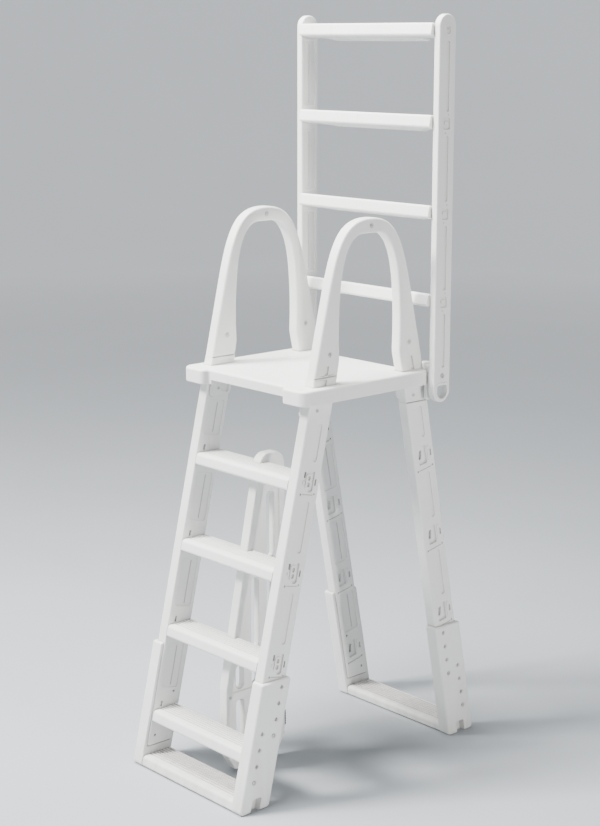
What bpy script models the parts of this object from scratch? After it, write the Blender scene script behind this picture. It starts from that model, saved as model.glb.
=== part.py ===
"""A-frame ladder for an above-ground pool, with a flip-up outside ladder and feet that extend.

World frame: metres, +Z up, +X to the right of a bather who climbs out of the pool towards +Y.
The origin is on the floor, under the middle of the feet.
Empties carry the pieces that lean or move: in a leg's own frame Z runs up the leg and Y runs across its depth.
"""

import math

import bmesh
import bpy
from mathutils import Vector

INCH = 0.0254
GAP = 0.0008  # clearance between pieces that fit together
THROUGH = 0.1  # a drill this long goes through any one leg, post or bracket tab

# Driving dimensions
DECK_TOP = 51.3 * INCH
STEP_PITCH = 11.0 * INCH
FOOT_REACH = 20.4 * INCH  # from the origin out to a leg's outer face, along the floor
FRONT_LEAN = math.radians(13.04)
REAR_LEAN = math.radians(10.88)
FRAME_WIDTH = 20.82 * INCH  # over the legs' outer faces
LEG_THICKNESS = 1.55 * INCH
LEG_DEPTH = 3.75 * INCH
LEG_BOTTOM = 2.6 * INCH  # height of a leg's lower end inside its sleeve
LEG_END_RADIUS = 0.5 * INCH
FRONT_SLOT_INSET = 1.15 * INCH  # from a leg's front face to the small slot beside each step
REAR_SLOT_INSET = 1.45 * INCH
LEG_SLOT_LENGTH = 0.8 * INCH
LEG_SLOT_WIDTH = 0.32 * INCH
FRONT_SLOT_RISE = 0.55 * INCH  # from a tread to the middle of the slot
REAR_SLOT_RISE = -0.4 * INCH
LEG_BOLT_INSET = 1.3 * INCH  # from a leg's front face
FRONT_BOLT_Z = 48.45 * INCH
REAR_BOLT_Z = 48.1 * INCH

# Deck
DECK_WIDTH = 23.2 * INCH
DECK_SKIRT = 1.9 * INCH
DECK_PANEL = 1.3 * INCH
DECK_FRONT = -11.1 * INCH
DECK_FRONT_RECESS = 0.95 * INCH
DECK_BACK = 11.2 * INCH
DECK_BACK_RECESS = 2.5 * INCH
DECK_LOBE_WIDTH = 4.3 * INCH
DECK_CORNER_RADIUS = 1.3 * INCH
DECK_SMALL_RADIUS = 0.35 * INCH
DECK_LOBE_RAMP = 0.4 * INCH  # the width over which a lobe comes out of the deck's edge
DECK_FRONT_WALL = 1.7 * INCH
DECK_BACK_WALL = 0.3 * INCH
SOCKET_LOW = 45.0 * INCH  # the leg openings are cut between these heights
SOCKET_HIGH = 56.0 * INCH

# Deck brackets, against the inside of the legs
TAB_THICKNESS = 0.6 * INCH
TAB_HALF_WIDTH = 1.5 * INCH
TAB_BOTTOM = 47.4 * INCH
TAB_RADIUS = 0.5 * INCH
TAB_CLEARANCE = 0.03 * INCH

# Handrail arches
ARCH_RISE = 19.7 * INCH
ARCH_BAR = 1.85 * INCH
ARCH_CENTRE_Y = 1.0 * INCH
ARCH_OUTER_FOOT = 9.3 * INCH  # from the arch's middle, at the top of the front legs
ARCH_OUTER_SHOULDER = (7.05 * INCH, 10.6 * INCH)
ARCH_OUTER_PULL = ((5.53 * INCH, 17.1 * INCH), (4.2 * INCH, 19.7 * INCH))
ARCH_INNER_FOOT = 5.65 * INCH  # from the arch's middle, on the deck
ARCH_INNER_KNEE = (5.1 * INCH, 2.7 * INCH)
ARCH_INNER_SHOULDER = (5.0 * INCH, 10.3 * INCH)
ARCH_INNER_LOW_PULL = ((5.2 * INCH, 5.0 * INCH), (5.25 * INCH, 7.5 * INCH))
ARCH_INNER_HIGH_PULL = ((4.75 * INCH, 14.5 * INCH), (3.6 * INCH, 17.85 * INCH))
ARCH_INNER_TOP = (1.2 * INCH, 17.85 * INCH)
JOIN_GAP = 0.03 * INCH  # between a leg's end and the post that carries on from it
FRONT_JOIN_RISE = 1.0 * INCH  # the front legs stand this far above the deck
REAR_JOIN_DROP = 4.15 * INCH  # the rear posts reach this far below it
POST_BOLT_REACH = 6.8 * INCH
POST_BOLT_RISE = 3.75 * INCH

# Steps
STEP_COUNT = 4
STEP_HEIGHT = 1.5 * INCH
STEP_NOSE_RADIUS = 0.45 * INCH
STEP_EDGE_RADIUS = 0.3 * INCH

# Foot sleeves
SLEEVE_TOP = 16.0 * INCH
SLEEVE_WALL = 0.4 * INCH
SLEEVE_OUTER_WALL = 0.44 * INCH
SLEEVE_INNER_EDGE = 9.05 * INCH
SLEEVE_FLOOR = 2.1 * INCH
SLEEVE_TOP_RADIUS = 0.3 * INCH
SLEEVE_FOOT_RADIUS = 0.5 * INCH
SLEEVE_CHANNEL_TOP = 20.0 * INCH
SLEEVE_CHANNEL_INNER_X = 8.0 * INCH
SLEEVE_NOTCH_WIDTH = 1.45 * INCH
SLEEVE_NOTCH_HEIGHT = 1.7 * INCH
SLEEVE_NOTCH_DEPTH = 0.9 * INCH
SLEEVE_NOTCH_RADIUS = 0.2 * INCH
ADJUSTMENT_PITCH = 2.03 * INCH
ADJUSTMENT_HOLES = 4
ADJUSTMENT_HOLE_RADIUS = 0.2 * INCH
ADJUSTMENT_DRILL = 0.03  # long enough for the outer wall, and short of the inner one
UPPER_HOLE_ROW = (0.95 * INCH, 9.1 * INCH)  # across the leg from its middle, and the lowest hole's height
LOWER_HOLE_ROW = (-0.95 * INCH, 3.85 * INCH)
FOOT_RUNG_LOW = 0.1 * INCH
FOOT_RUNG_HIGH = 1.45 * INCH
FOOT_RUNG_INSET = 0.1 * INCH  # from the sleeve's front and back faces

# Flip-up ladder
HINGE_Y = 11.3 * INCH
HINGE_Z = 50.55 * INCH
RAIL_INNER_X = 11.9 * INCH
RAIL_THICKNESS = 0.96 * INCH
RAIL_DEPTH = 2.88 * INCH
RAIL_ABOVE_HINGE = 44.5 * INCH
RAIL_BELOW_HINGE = 3.37 * INCH
RUNG_FIRST = 8.54 * INCH  # along the rail from the hinge to the first tread's surface
RUNG_COUNT = 4
RUNG_HEIGHT = 1.6 * INCH
RUNG_NOSE = 2.1 * INCH
RUNG_SHOULDER = 0.0
RUNG_CHAMFER = (0.5 * INCH, 0.6 * INCH)
RUNG_BACK = -1.85 * INCH
RUNG_BACK_RADIUS = 0.5 * INCH
RUNG_TONGUE_HALF_WIDTH = 8.4 * INCH
LOCK_SLOT_WIDTH = 1.75 * INCH
LOCK_SLOT_TOP = -1.2 * INCH  # along the rail from the hinge
LOCK_SLOT_BOTTOM = -2.87 * INCH
LOCK_SLOT_RADIUS = 0.3 * INCH  # of its upper corners

# Hinge bracket and bolt
BRACKET_INNER_X = 10.85 * INCH
BRACKET_OUTER_X = 11.85 * INCH
BRACKET_ARM_X = 8.9 * INCH
BRACKET_FRONT = 10.1 * INCH
BRACKET_BACK = 12.4 * INCH
BRACKET_ARM_FRONT = 11.27 * INCH
BRACKET_BOTTOM = 47.4 * INCH
BRACKET_TOP = 51.9 * INCH
BRACKET_TAB_TOP = 49.45 * INCH  # below this only a tab is left, clear of the rail's lock slot
BRACKET_TAB_OUTER_X = 11.35 * INCH
BRACKET_TAB_BACK = 11.3 * INCH
HINGE_BOLT_RADIUS = 0.19 * INCH
BUSHING_INNER_RADIUS = 0.207 * INCH
BUSHING_OUTER_RADIUS = 0.27 * INCH
BUSHING_HOLE_RADIUS = 0.287 * INCH
BUSHING_INSET = 0.01 * INCH  # from each face of the rail
HINGE_HEAD_RADIUS = 0.32 * INCH
HINGE_HEAD_HEIGHT = 0.1 * INCH
HINGE_DRILL = 0.06

# Barrier between the ladder and the pool wall
BARRIER_THICKNESS = 1.5 * INCH
BARRIER_TOP = 41.4 * INCH
BARRIER_BOTTOM = 0.5 * INCH
BARRIER_BACK = -4.5 * INCH
BARRIER_FRONT_HIGH = (-8.4 * INCH, 39.4 * INCH)
BARRIER_FRONT_LOW = (-14.4 * INCH, 11.6 * INCH)
BARRIER_FRONT_HEEL = 3.0 * INCH
BARRIER_FLOOR = (-13.0 * INCH, -6.0 * INCH)  # where its level underside starts and ends
BARRIER_BACK_HEEL = 3.4 * INCH
BARRIER_TOP_RADIUS = 1.6 * INCH
BARRIER_FRONT_RADIUS = 0.8 * INCH
BARRIER_HEEL_RADIUS = 0.5 * INCH
BUMPER_LOW = 4.2 * INCH
BUMPER_HIGH = 6.3 * INCH
BUMPER_THICKNESS = 0.32 * INCH
BUMPER_WIDTH = 1.1 * INCH
WATER_SLOT_WIDTH = 1.35 * INCH
WATER_SLOTS = (  # each slot's place across the barrier, and its lower and upper ends
    (-6.75, 2.8, 9.8),
    (-9.35, 2.8, 9.8),
    (-11.95, 2.8, 9.8),
    (-6.75, 11.2, 16.6),
    (-9.35, 11.2, 14.6),
    (-11.95, 11.2, 14.4),
    (-6.75, 18.2, 25.5),
    (-9.35, 16.0, 25.5),
    (-6.75, 27.6, 36.4),
)
BARRIER_SCREW = (-13.8 * INCH, 10.5 * INCH)

# Fasteners
SCREW_HEAD_RADIUS = 0.2 * INCH
SCREW_HEAD_HEIGHT = 0.1 * INCH
SCREW_SHANK_RADIUS = 0.1 * INCH
SCREW_HOLE_RADIUS = 0.125 * INCH
FOOT_SCREW_HEAD_RADIUS = 0.25 * INCH
FOOT_SCREW_SHANK_RADIUS = 0.17 * INCH
FOOT_SCREW_SETBACK = 0.06 * INCH  # from its tip to the sleeve wall's inner face, so that the sleeve can slide
SCREW_SIDES = 12
SEAT_GAP = 0.0003  # under a screw head

# Widths of the rounded edges
FINE_EDGE = 0.1 * INCH
SOFT_EDGE = 0.12 * INCH
DECK_EDGE = 0.15 * INCH
RUNG_EDGE = 0.18 * INCH

LEG_CENTRE_X = FRAME_WIDTH / 2 - LEG_THICKNESS / 2
SIDES = (("left", -1), ("right", 1))
WHITE = (0.86, 0.86, 0.83)
BLACK = (0.02, 0.02, 0.02)
STEEL = (0.45, 0.45, 0.44)


def clear_scene():
    for obj in list(bpy.data.objects):
        bpy.data.objects.remove(obj)


def new_collection(name):
    collection = bpy.data.collections.new(name)
    bpy.context.scene.collection.children.link(collection)
    return collection


def new_material(name, colour, roughness, metallic=0.0):
    material = bpy.data.materials.new(name)
    material.use_nodes = True
    shader = material.node_tree.nodes["Principled BSDF"]
    shader.inputs["Base Color"].default_value = (*colour, 1.0)
    shader.inputs["Roughness"].default_value = roughness
    shader.inputs["Metallic"].default_value = metallic
    return material


def new_empty(name, location=(0, 0, 0), rotation_x=0.0, parent=None):
    empty = bpy.data.objects.new(name, None)
    parts.objects.link(empty)
    empty.location = location
    empty.rotation_euler = (rotation_x, 0, 0)
    empty.parent = parent
    return empty


def rounded(corners, steps=3):
    """The outline through (u, v, radius) corners, with each radius as an arc."""
    points = []
    for i, (u, v, radius) in enumerate(corners):
        corner = Vector((u, v))
        if radius == 0:
            points.append(corner)
            continue
        before = (Vector(corners[i - 1][:2]) - corner).normalized()
        after = (Vector(corners[(i + 1) % len(corners)][:2]) - corner).normalized()
        half_angle = before.angle(after) / 2
        centre = corner + (before + after).normalized() * radius / math.sin(half_angle)
        start = corner + before * radius / math.tan(half_angle) - centre
        end = corner + after * radius / math.tan(half_angle) - centre
        turn = start.angle_signed(end)
        for step in range(steps + 1):
            angle = -turn * step / steps
            c, s = math.cos(angle), math.sin(angle)
            points.append(centre + Vector((start.x * c - start.y * s, start.x * s + start.y * c)))
    return points


def slot(u, low, high, width, steps=4):
    """A round-ended slot that runs along v."""
    half = width / 2
    arc = [math.pi * i / steps for i in range(steps + 1)]
    top = [Vector((u + half * math.cos(a), high - half + half * math.sin(a))) for a in arc]
    bottom = [Vector((u - half * math.cos(a), low + half - half * math.sin(a))) for a in arc]
    return top + bottom


def cubic(p0, p1, p2, p3, steps):
    """Points on a cubic curve, without its first one."""
    points = []
    for i in range(1, steps + 1):
        t = i / steps
        weights = ((1 - t) ** 3, 3 * t * (1 - t) ** 2, 3 * t * t * (1 - t), t**3)
        points.append(sum((Vector(p) * w for p, w in zip((p0, p1, p2, p3), weights)), Vector((0, 0))))
    return points


def finish_object(obj, material, parent, collection):
    obj.data.materials.clear()
    obj.data.materials.append(material)
    collection.objects.link(obj)
    obj.parent = parent
    return obj


def extruded(name, loops, thickness, material, parent, location, rotation, collection=None):
    """A flat outline, and any holes in it, made thick and then made a mesh."""
    curve = bpy.data.curves.new(name, "CURVE")
    curve.dimensions = "2D"
    curve.fill_mode = "BOTH"
    curve.extrude = thickness / 2
    for loop in loops:
        spline = curve.splines.new("POLY")
        spline.points.add(len(loop) - 1)
        for point, (u, v) in zip(spline.points, loop):
            point.co = (u, v, 0, 1)
        spline.use_cyclic_u = True
    source = bpy.data.objects.new(name, curve)
    bpy.context.scene.collection.objects.link(source)
    bpy.context.view_layer.update()
    evaluated = source.evaluated_get(bpy.context.evaluated_depsgraph_get())
    mesh = bpy.data.meshes.new_from_object(evaluated)
    bpy.data.objects.remove(source)
    bpy.data.curves.remove(curve)
    shape = bmesh.new()
    shape.from_mesh(mesh)
    bmesh.ops.remove_doubles(shape, verts=shape.verts, dist=1e-6)
    bmesh.ops.recalc_face_normals(shape, faces=shape.faces)
    shape.to_mesh(mesh)
    shape.free()
    mesh.name = name
    obj = bpy.data.objects.new(name, mesh)
    obj.location = location
    obj.rotation_euler = rotation
    return finish_object(obj, material, parent, collection or parts)


def plate(name, loops, x, thickness, material, parent, location=(0, 0), collection=None):
    """An outline in the parent's YZ plane, centred on x and thick along X."""
    turn = (math.pi / 2, 0, math.pi / 2)
    return extruded(name, loops, thickness, material, parent, (x, *location), turn, collection)


def cutter_plate(name, outline, x, thickness, parent):
    return plate(name, [outline], x, thickness, white, parent, collection=cutters)


def slab(name, loops, z, thickness, material, parent, rotation_x=0.0, collection=None):
    """An outline in the parent's XY plane, centred on z and thick along Z."""
    return extruded(name, loops, thickness, material, parent, (0, 0, z), (rotation_x, 0, 0), collection)


def turned(name, profile, material, parent, location, towards=1):
    """A profile of (radius, height) turned about X: height runs along +X, or -X if towards is -1."""
    mesh = bpy.data.meshes.new(name)
    shape = bmesh.new()
    points = [shape.verts.new((radius, 0, height)) for radius, height in profile]
    for start, end in zip(points, points[1:]):
        shape.edges.new((start, end))
    if profile[0][0] > 0:
        shape.edges.new((points[-1], points[0]))
    shape.to_mesh(mesh)
    shape.free()
    obj = bpy.data.objects.new(name, mesh)
    obj.location = location
    obj.rotation_euler = (0, towards * math.pi / 2, 0)
    screw = obj.modifiers.new("Turn", "SCREW")
    screw.steps = SCREW_SIDES
    screw.render_steps = SCREW_SIDES
    screw.use_merge_vertices = True
    screw.merge_threshold = 1e-5
    screw.use_smooth_shade = True
    return finish_object(obj, material, parent, parts)


def bevel(obj, width, segments=1):
    modifier = obj.modifiers.new("Rounded edges", "BEVEL")
    modifier.width = width
    modifier.segments = segments
    modifier.limit_method = "ANGLE"
    modifier.angle_limit = math.radians(50)


def cut(obj, cutter):
    cutter.hide_render = True
    cutter.display_type = "WIRE"
    modifier = obj.modifiers.new(cutter.name, "BOOLEAN")
    modifier.operation = "DIFFERENCE"
    modifier.solver = "EXACT"
    modifier.object = cutter


def drill(obj, name, places, radius, parent, x=0.0, depth=THROUGH):
    """Round holes along X through obj, at (y, z) places in the parent's frame."""
    mesh = bpy.data.meshes.new(name)
    shape = bmesh.new()
    for y, z in places:
        made = bmesh.ops.create_cone(
            shape, cap_ends=True, segments=SCREW_SIDES, radius1=radius, radius2=radius, depth=depth
        )
        verts = made["verts"]
        for vert in verts:
            across, along, height = vert.co
            vert.co = (height + x, across + y, along + z)
    shape.to_mesh(mesh)
    shape.free()
    cutter = bpy.data.objects.new(name, mesh)
    finish_object(cutter, white, parent, cutters)
    cut(obj, cutter)


def foot_screw(name, place, x, length, parent, towards):
    """A thick round-headed screw along X: its head is at x, and its shank runs back from it."""
    profile = (
        (0, SCREW_HEAD_HEIGHT),
        (0.6 * FOOT_SCREW_HEAD_RADIUS, SCREW_HEAD_HEIGHT),
        (FOOT_SCREW_HEAD_RADIUS, 0.4 * SCREW_HEAD_HEIGHT),
        (FOOT_SCREW_HEAD_RADIUS, 0),
        (FOOT_SCREW_SHANK_RADIUS, 0),
        (FOOT_SCREW_SHANK_RADIUS, -length),
        (0, -length),
    )
    return turned(name, profile, steel, parent, (x + towards * SEAT_GAP, *place), towards)


def through_bolt(name, place, x, length, parent, towards):
    """A bolt with a head at x and its nut on the far face of what it holds."""
    nut = -length - 2 * SEAT_GAP
    profile = (
        (0, SCREW_HEAD_HEIGHT),
        (0.6 * SCREW_HEAD_RADIUS, SCREW_HEAD_HEIGHT),
        (SCREW_HEAD_RADIUS, 0.4 * SCREW_HEAD_HEIGHT),
        (SCREW_HEAD_RADIUS, 0),
        (SCREW_SHANK_RADIUS, 0),
        (SCREW_SHANK_RADIUS, nut),
        (SCREW_HEAD_RADIUS, nut),
        (SCREW_HEAD_RADIUS, nut - 0.6 * SCREW_HEAD_HEIGHT),
        (0, nut - 0.6 * SCREW_HEAD_HEIGHT),
    )
    return turned(name, profile, steel, parent, (x + towards * SEAT_GAP, *place), towards)


class Leg:
    """A leaning pair of legs: outwards is -1 for the front pair and 1 for the rear pair."""

    def __init__(self, name, outwards, lean, bolt_z):
        self.name = name
        self.outwards = outwards
        self.tilt = outwards * lean
        across = LEG_BOLT_INSET - LEG_DEPTH / 2
        self.bolt = (across, self.along(across, bolt_z))
        self.floor_y = outwards * (FOOT_REACH - LEG_DEPTH / 2 / math.cos(lean))

    def frame(self, name, parent):
        return new_empty(name, (0, self.floor_y, 0), self.tilt, parent)

    def along(self, across, z):
        """How far up the leg a point of this height is, given its place across the leg."""
        return (z - across * math.sin(self.tilt)) / math.cos(self.tilt)

    def outline(self, corners):
        """An outline from (place across the leg, height above the floor, radius) corners."""
        return rounded([(across, self.along(across, z), radius) for across, z, radius in corners])

    def middle(self, z):
        """World Y of the leg's middle at this height."""
        return self.floor_y - math.tan(self.tilt) * z


def make_deck(parent):
    half = DECK_WIDTH / 2
    lobe = half - DECK_LOBE_WIDTH
    notch = BRACKET_INNER_X - FINE_EDGE
    notch_front = BRACKET_FRONT - FINE_EDGE
    recess_front = DECK_FRONT + DECK_FRONT_RECESS
    recess_back = DECK_BACK - DECK_BACK_RECESS
    radius = DECK_CORNER_RADIUS
    small = DECK_SMALL_RADIUS
    right = [
        (lobe, recess_front, small),
        (lobe + DECK_LOBE_RAMP, DECK_FRONT, 2 * small),
        (half, DECK_FRONT, radius),
        (half, notch_front, small),
        (notch, notch_front, 0),
        (notch, DECK_BACK, small),
        (lobe + DECK_LOBE_RAMP, DECK_BACK, 2 * small),
        (lobe, recess_back, small),
    ]
    left = [(-x, y, r) for x, y, r in reversed(right)]
    middle = DECK_TOP - DECK_SKIRT / 2
    deck = slab("platform_deck", [rounded(right + left)], middle, DECK_SKIRT, white, parent)
    bevel(deck, DECK_EDGE, 2)
    wall = FRAME_WIDTH / 2 - LEG_THICKNESS - GAP / 2
    front_wall = DECK_FRONT + DECK_FRONT_WALL
    back_wall = DECK_BACK - DECK_BACK_WALL
    pocket = FRAME_WIDTH / 2 - LEG_THICKNESS - INCH
    right = [
        (lobe - small, DECK_FRONT - INCH),
        (lobe - small, front_wall - small),
        (wall, front_wall),
        (wall, back_wall),
        (pocket, back_wall),
        (pocket, recess_back - DECK_LOBE_RAMP),
    ]
    left = [(-x, y) for x, y in reversed(right)]
    depth = 2 * INCH
    z = DECK_TOP - DECK_PANEL - depth / 2
    hollow = [Vector(point) for point in right + left]
    cut(deck, slab("deck_hollow", [hollow], z, depth, white, parent, collection=cutters))
    return deck


def leg_socket_cutters(deck, leg, leg_frame):
    """Openings in the deck that the legs or the handrail posts stand in."""
    reach = LEG_DEPTH / 2 + GAP
    corners = [(-reach, SOCKET_LOW, 0), (reach, SOCKET_LOW, 0), (reach, SOCKET_HIGH, 0), (-reach, SOCKET_HIGH, 0)]
    for side, sign in SIDES:
        name = f"{leg.name}_{side}_deck_opening"
        width = LEG_THICKNESS + 2 * GAP
        cut(deck, cutter_plate(name, leg.outline(corners), sign * LEG_CENTRE_X, width, leg_frame))


def make_legs(leg, leg_frame, top):
    """The two legs of a pair, with a small slot near the front face at each step's height."""
    half = LEG_DEPTH / 2
    outline = leg.outline(
        [
            (-half, LEG_BOTTOM, LEG_END_RADIUS),
            (half, LEG_BOTTOM, LEG_END_RADIUS),
            (half, top, 0),
            (-half, top, 0),
        ]
    )
    slots = []
    inset, rise = REAR_SLOT_INSET, REAR_SLOT_RISE
    if leg.outwards < 0:
        inset, rise = FRONT_SLOT_INSET, FRONT_SLOT_RISE
    for k in range(1, STEP_COUNT + 1):
        across = inset - half
        height = leg.along(across, DECK_TOP - k * STEP_PITCH + rise)
        reach = LEG_SLOT_LENGTH / 2
        slots.append(slot(across, height - reach, height + reach, LEG_SLOT_WIDTH, 2))
    for side, sign in SIDES:
        name = f"{leg.name}_leg_{side}"
        post = plate(name, [outline, *slots], sign * LEG_CENTRE_X, LEG_THICKNESS, white, leg_frame)
        bevel(post, FINE_EDGE)
        if leg.outwards < 0:
            drill(post, f"{name}_bolt_hole", [leg.bolt], SCREW_HOLE_RADIUS, leg_frame, sign * LEG_CENTRE_X)


def make_deck_bracket(leg, leg_frame, side, sign):
    """A plate against the inside of a leg, under the deck, and the bolt that joins the two."""
    x = FRAME_WIDTH / 2 - LEG_THICKNESS - GAP - TAB_THICKNESS / 2
    top = DECK_TOP - DECK_PANEL - TAB_CLEARANCE
    corners = [
        (-TAB_HALF_WIDTH, TAB_BOTTOM, TAB_RADIUS),
        (TAB_HALF_WIDTH, TAB_BOTTOM, TAB_RADIUS),
        (TAB_HALF_WIDTH, top, 0),
        (-TAB_HALF_WIDTH, top, 0),
    ]
    name = f"deck_bracket_{leg.name}_{side}"
    tab = plate(name, [leg.outline(corners)], sign * x, TAB_THICKNESS, white, leg_frame)
    drill(tab, f"{name}_hole", [leg.bolt], SCREW_HOLE_RADIUS, leg_frame, sign * x)
    outer = sign * FRAME_WIDTH / 2
    length = LEG_THICKNESS + GAP + TAB_THICKNESS
    through_bolt(f"leg_bolt_{leg.name}_{side}", leg.bolt, outer, length, leg_frame, sign)


def mirrored(points):
    """The same points on the other side of the arch's middle, in the opposite order."""
    return [Vector((-u, v)) for u, v in reversed(points)]


def arch_outline(rear):
    """One handrail's outline about the arch's middle, from its front foot over the top to its rear foot."""
    crown = (0, ARCH_RISE)
    outer = [Vector(crown)]
    outer += cubic(crown, *reversed(ARCH_OUTER_PULL), ARCH_OUTER_SHOULDER, 7)
    inner = [Vector(ARCH_INNER_KNEE)]
    inner += cubic(ARCH_INNER_KNEE, *ARCH_INNER_LOW_PULL, ARCH_INNER_SHOULDER, 4)
    inner += cubic(ARCH_INNER_SHOULDER, *ARCH_INNER_HIGH_PULL, ARCH_INNER_TOP, 5)
    rise = FRONT_JOIN_RISE + JOIN_GAP
    inner_foot = Vector((ARCH_INNER_FOOT, 0)).lerp(Vector(ARCH_INNER_KNEE), rise / ARCH_INNER_KNEE[1])
    front_foot = [Vector((-inner_foot.x, rise)), Vector((-ARCH_OUTER_FOOT, rise))]
    low = DECK_TOP - REAR_JOIN_DROP
    reach = LEG_DEPTH / 2 / math.cos(rear.tilt)
    rear_foot = []
    for z, side in ((DECK_TOP, 1), (low, 1), (low, -1), (DECK_TOP, -1)):
        y = rear.middle(z) + side * reach - ARCH_CENTRE_Y
        rear_foot.append(Vector((y, z - DECK_TOP)))
    return front_foot + mirrored(outer) + outer[1:] + rear_foot + inner + mirrored(inner)


def make_handrail(side, sign, parent, rear):
    x = sign * LEG_CENTRE_X
    name = f"handrail_{side}"
    origin = (ARCH_CENTRE_Y, DECK_TOP)
    rail = plate(name, [arch_outline(rear)], x, LEG_THICKNESS, white, parent, origin)
    bevel(rail, SOFT_EDGE)
    places = {
        "top": (ARCH_CENTRE_Y, DECK_TOP + ARCH_RISE - ARCH_BAR / 2),
        "front": (ARCH_CENTRE_Y - POST_BOLT_REACH, DECK_TOP + POST_BOLT_RISE),
        "rear": (ARCH_CENTRE_Y + POST_BOLT_REACH, DECK_TOP + POST_BOLT_RISE),
    }
    for where, place in places.items():
        outer = sign * FRAME_WIDTH / 2
        through_bolt(f"handrail_bolt_{side}_{where}", place, outer, LEG_THICKNESS, parent, sign)
    across, along = rear.bolt
    c, s = math.cos(rear.tilt), math.sin(rear.tilt)
    leg_bolt = (rear.floor_y + across * c - along * s, across * s + along * c)
    drill(rail, f"{name}_bolt_holes", [*places.values(), leg_bolt], SCREW_HOLE_RADIUS, parent, x)


def barrier_outline(grow=0.0):
    front, back = BARRIER_FRONT_LOW[0] - grow, BARRIER_BACK + grow
    top = BARRIER_TOP + grow
    return rounded(
        [
            (BARRIER_FRONT_HIGH[0] - grow, top, BARRIER_TOP_RADIUS),
            (front, BARRIER_FRONT_LOW[1], BARRIER_FRONT_RADIUS),
            (front, BARRIER_FRONT_HEEL, BARRIER_HEEL_RADIUS),
            (BARRIER_FLOOR[0], BARRIER_BOTTOM, BARRIER_HEEL_RADIUS),
            (BARRIER_FLOOR[1], BARRIER_BOTTOM, BARRIER_HEEL_RADIUS),
            (back, BARRIER_BACK_HEEL, BARRIER_HEEL_RADIUS),
            (back, top, BARRIER_TOP_RADIUS),
        ],
        4,
    )


def make_barrier(parent):
    slots = [slot(y * INCH, low * INCH, high * INCH, WATER_SLOT_WIDTH) for y, low, high in WATER_SLOTS]
    panel = plate("barrier_panel", [barrier_outline(), *slots], 0, BARRIER_THICKNESS, white, parent)
    bevel(panel, SOFT_EDGE)
    drill(panel, "barrier_bolt_hole", [BARRIER_SCREW], SCREW_HOLE_RADIUS, parent)
    through_bolt("barrier_bolt", BARRIER_SCREW, BARRIER_THICKNESS / 2, BARRIER_THICKNESS, parent, 1)
    back = BARRIER_BACK + SEAT_GAP
    bumper = rounded(
        [
            (back, BUMPER_LOW, 0),
            (back + BUMPER_THICKNESS, BUMPER_LOW, BUMPER_THICKNESS / 2),
            (back + BUMPER_THICKNESS, BUMPER_HIGH, BUMPER_THICKNESS / 2),
            (back, BUMPER_HIGH, 0),
        ]
    )
    plate("barrier_bumper", [bumper], 0, BUMPER_WIDTH, black, parent)


def make_steps(leg, leg_frame, parent):
    """Four steps between the front legs. The upper three are notched for the barrier that stands behind them."""
    width = BARRIER_THICKNESS + 2 * GAP
    clearance = cutter_plate("barrier_clearance", barrier_outline(GAP), 0, width, parent)
    length = FRAME_WIDTH - 2 * LEG_THICKNESS - 2 * GAP
    half = LEG_DEPTH / 2
    for k in range(1, STEP_COUNT + 1):
        top = DECK_TOP - k * STEP_PITCH
        bottom = top - STEP_HEIGHT
        corners = [
            (-half, top, STEP_NOSE_RADIUS),
            (-half, bottom, STEP_EDGE_RADIUS),
            (half, bottom, STEP_EDGE_RADIUS),
            (half, top, STEP_EDGE_RADIUS),
        ]
        step = plate(f"front_step_{k}", [leg.outline(corners)], 0, length, white, leg_frame)
        if k < STEP_COUNT:
            cut(step, clearance)


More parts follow.
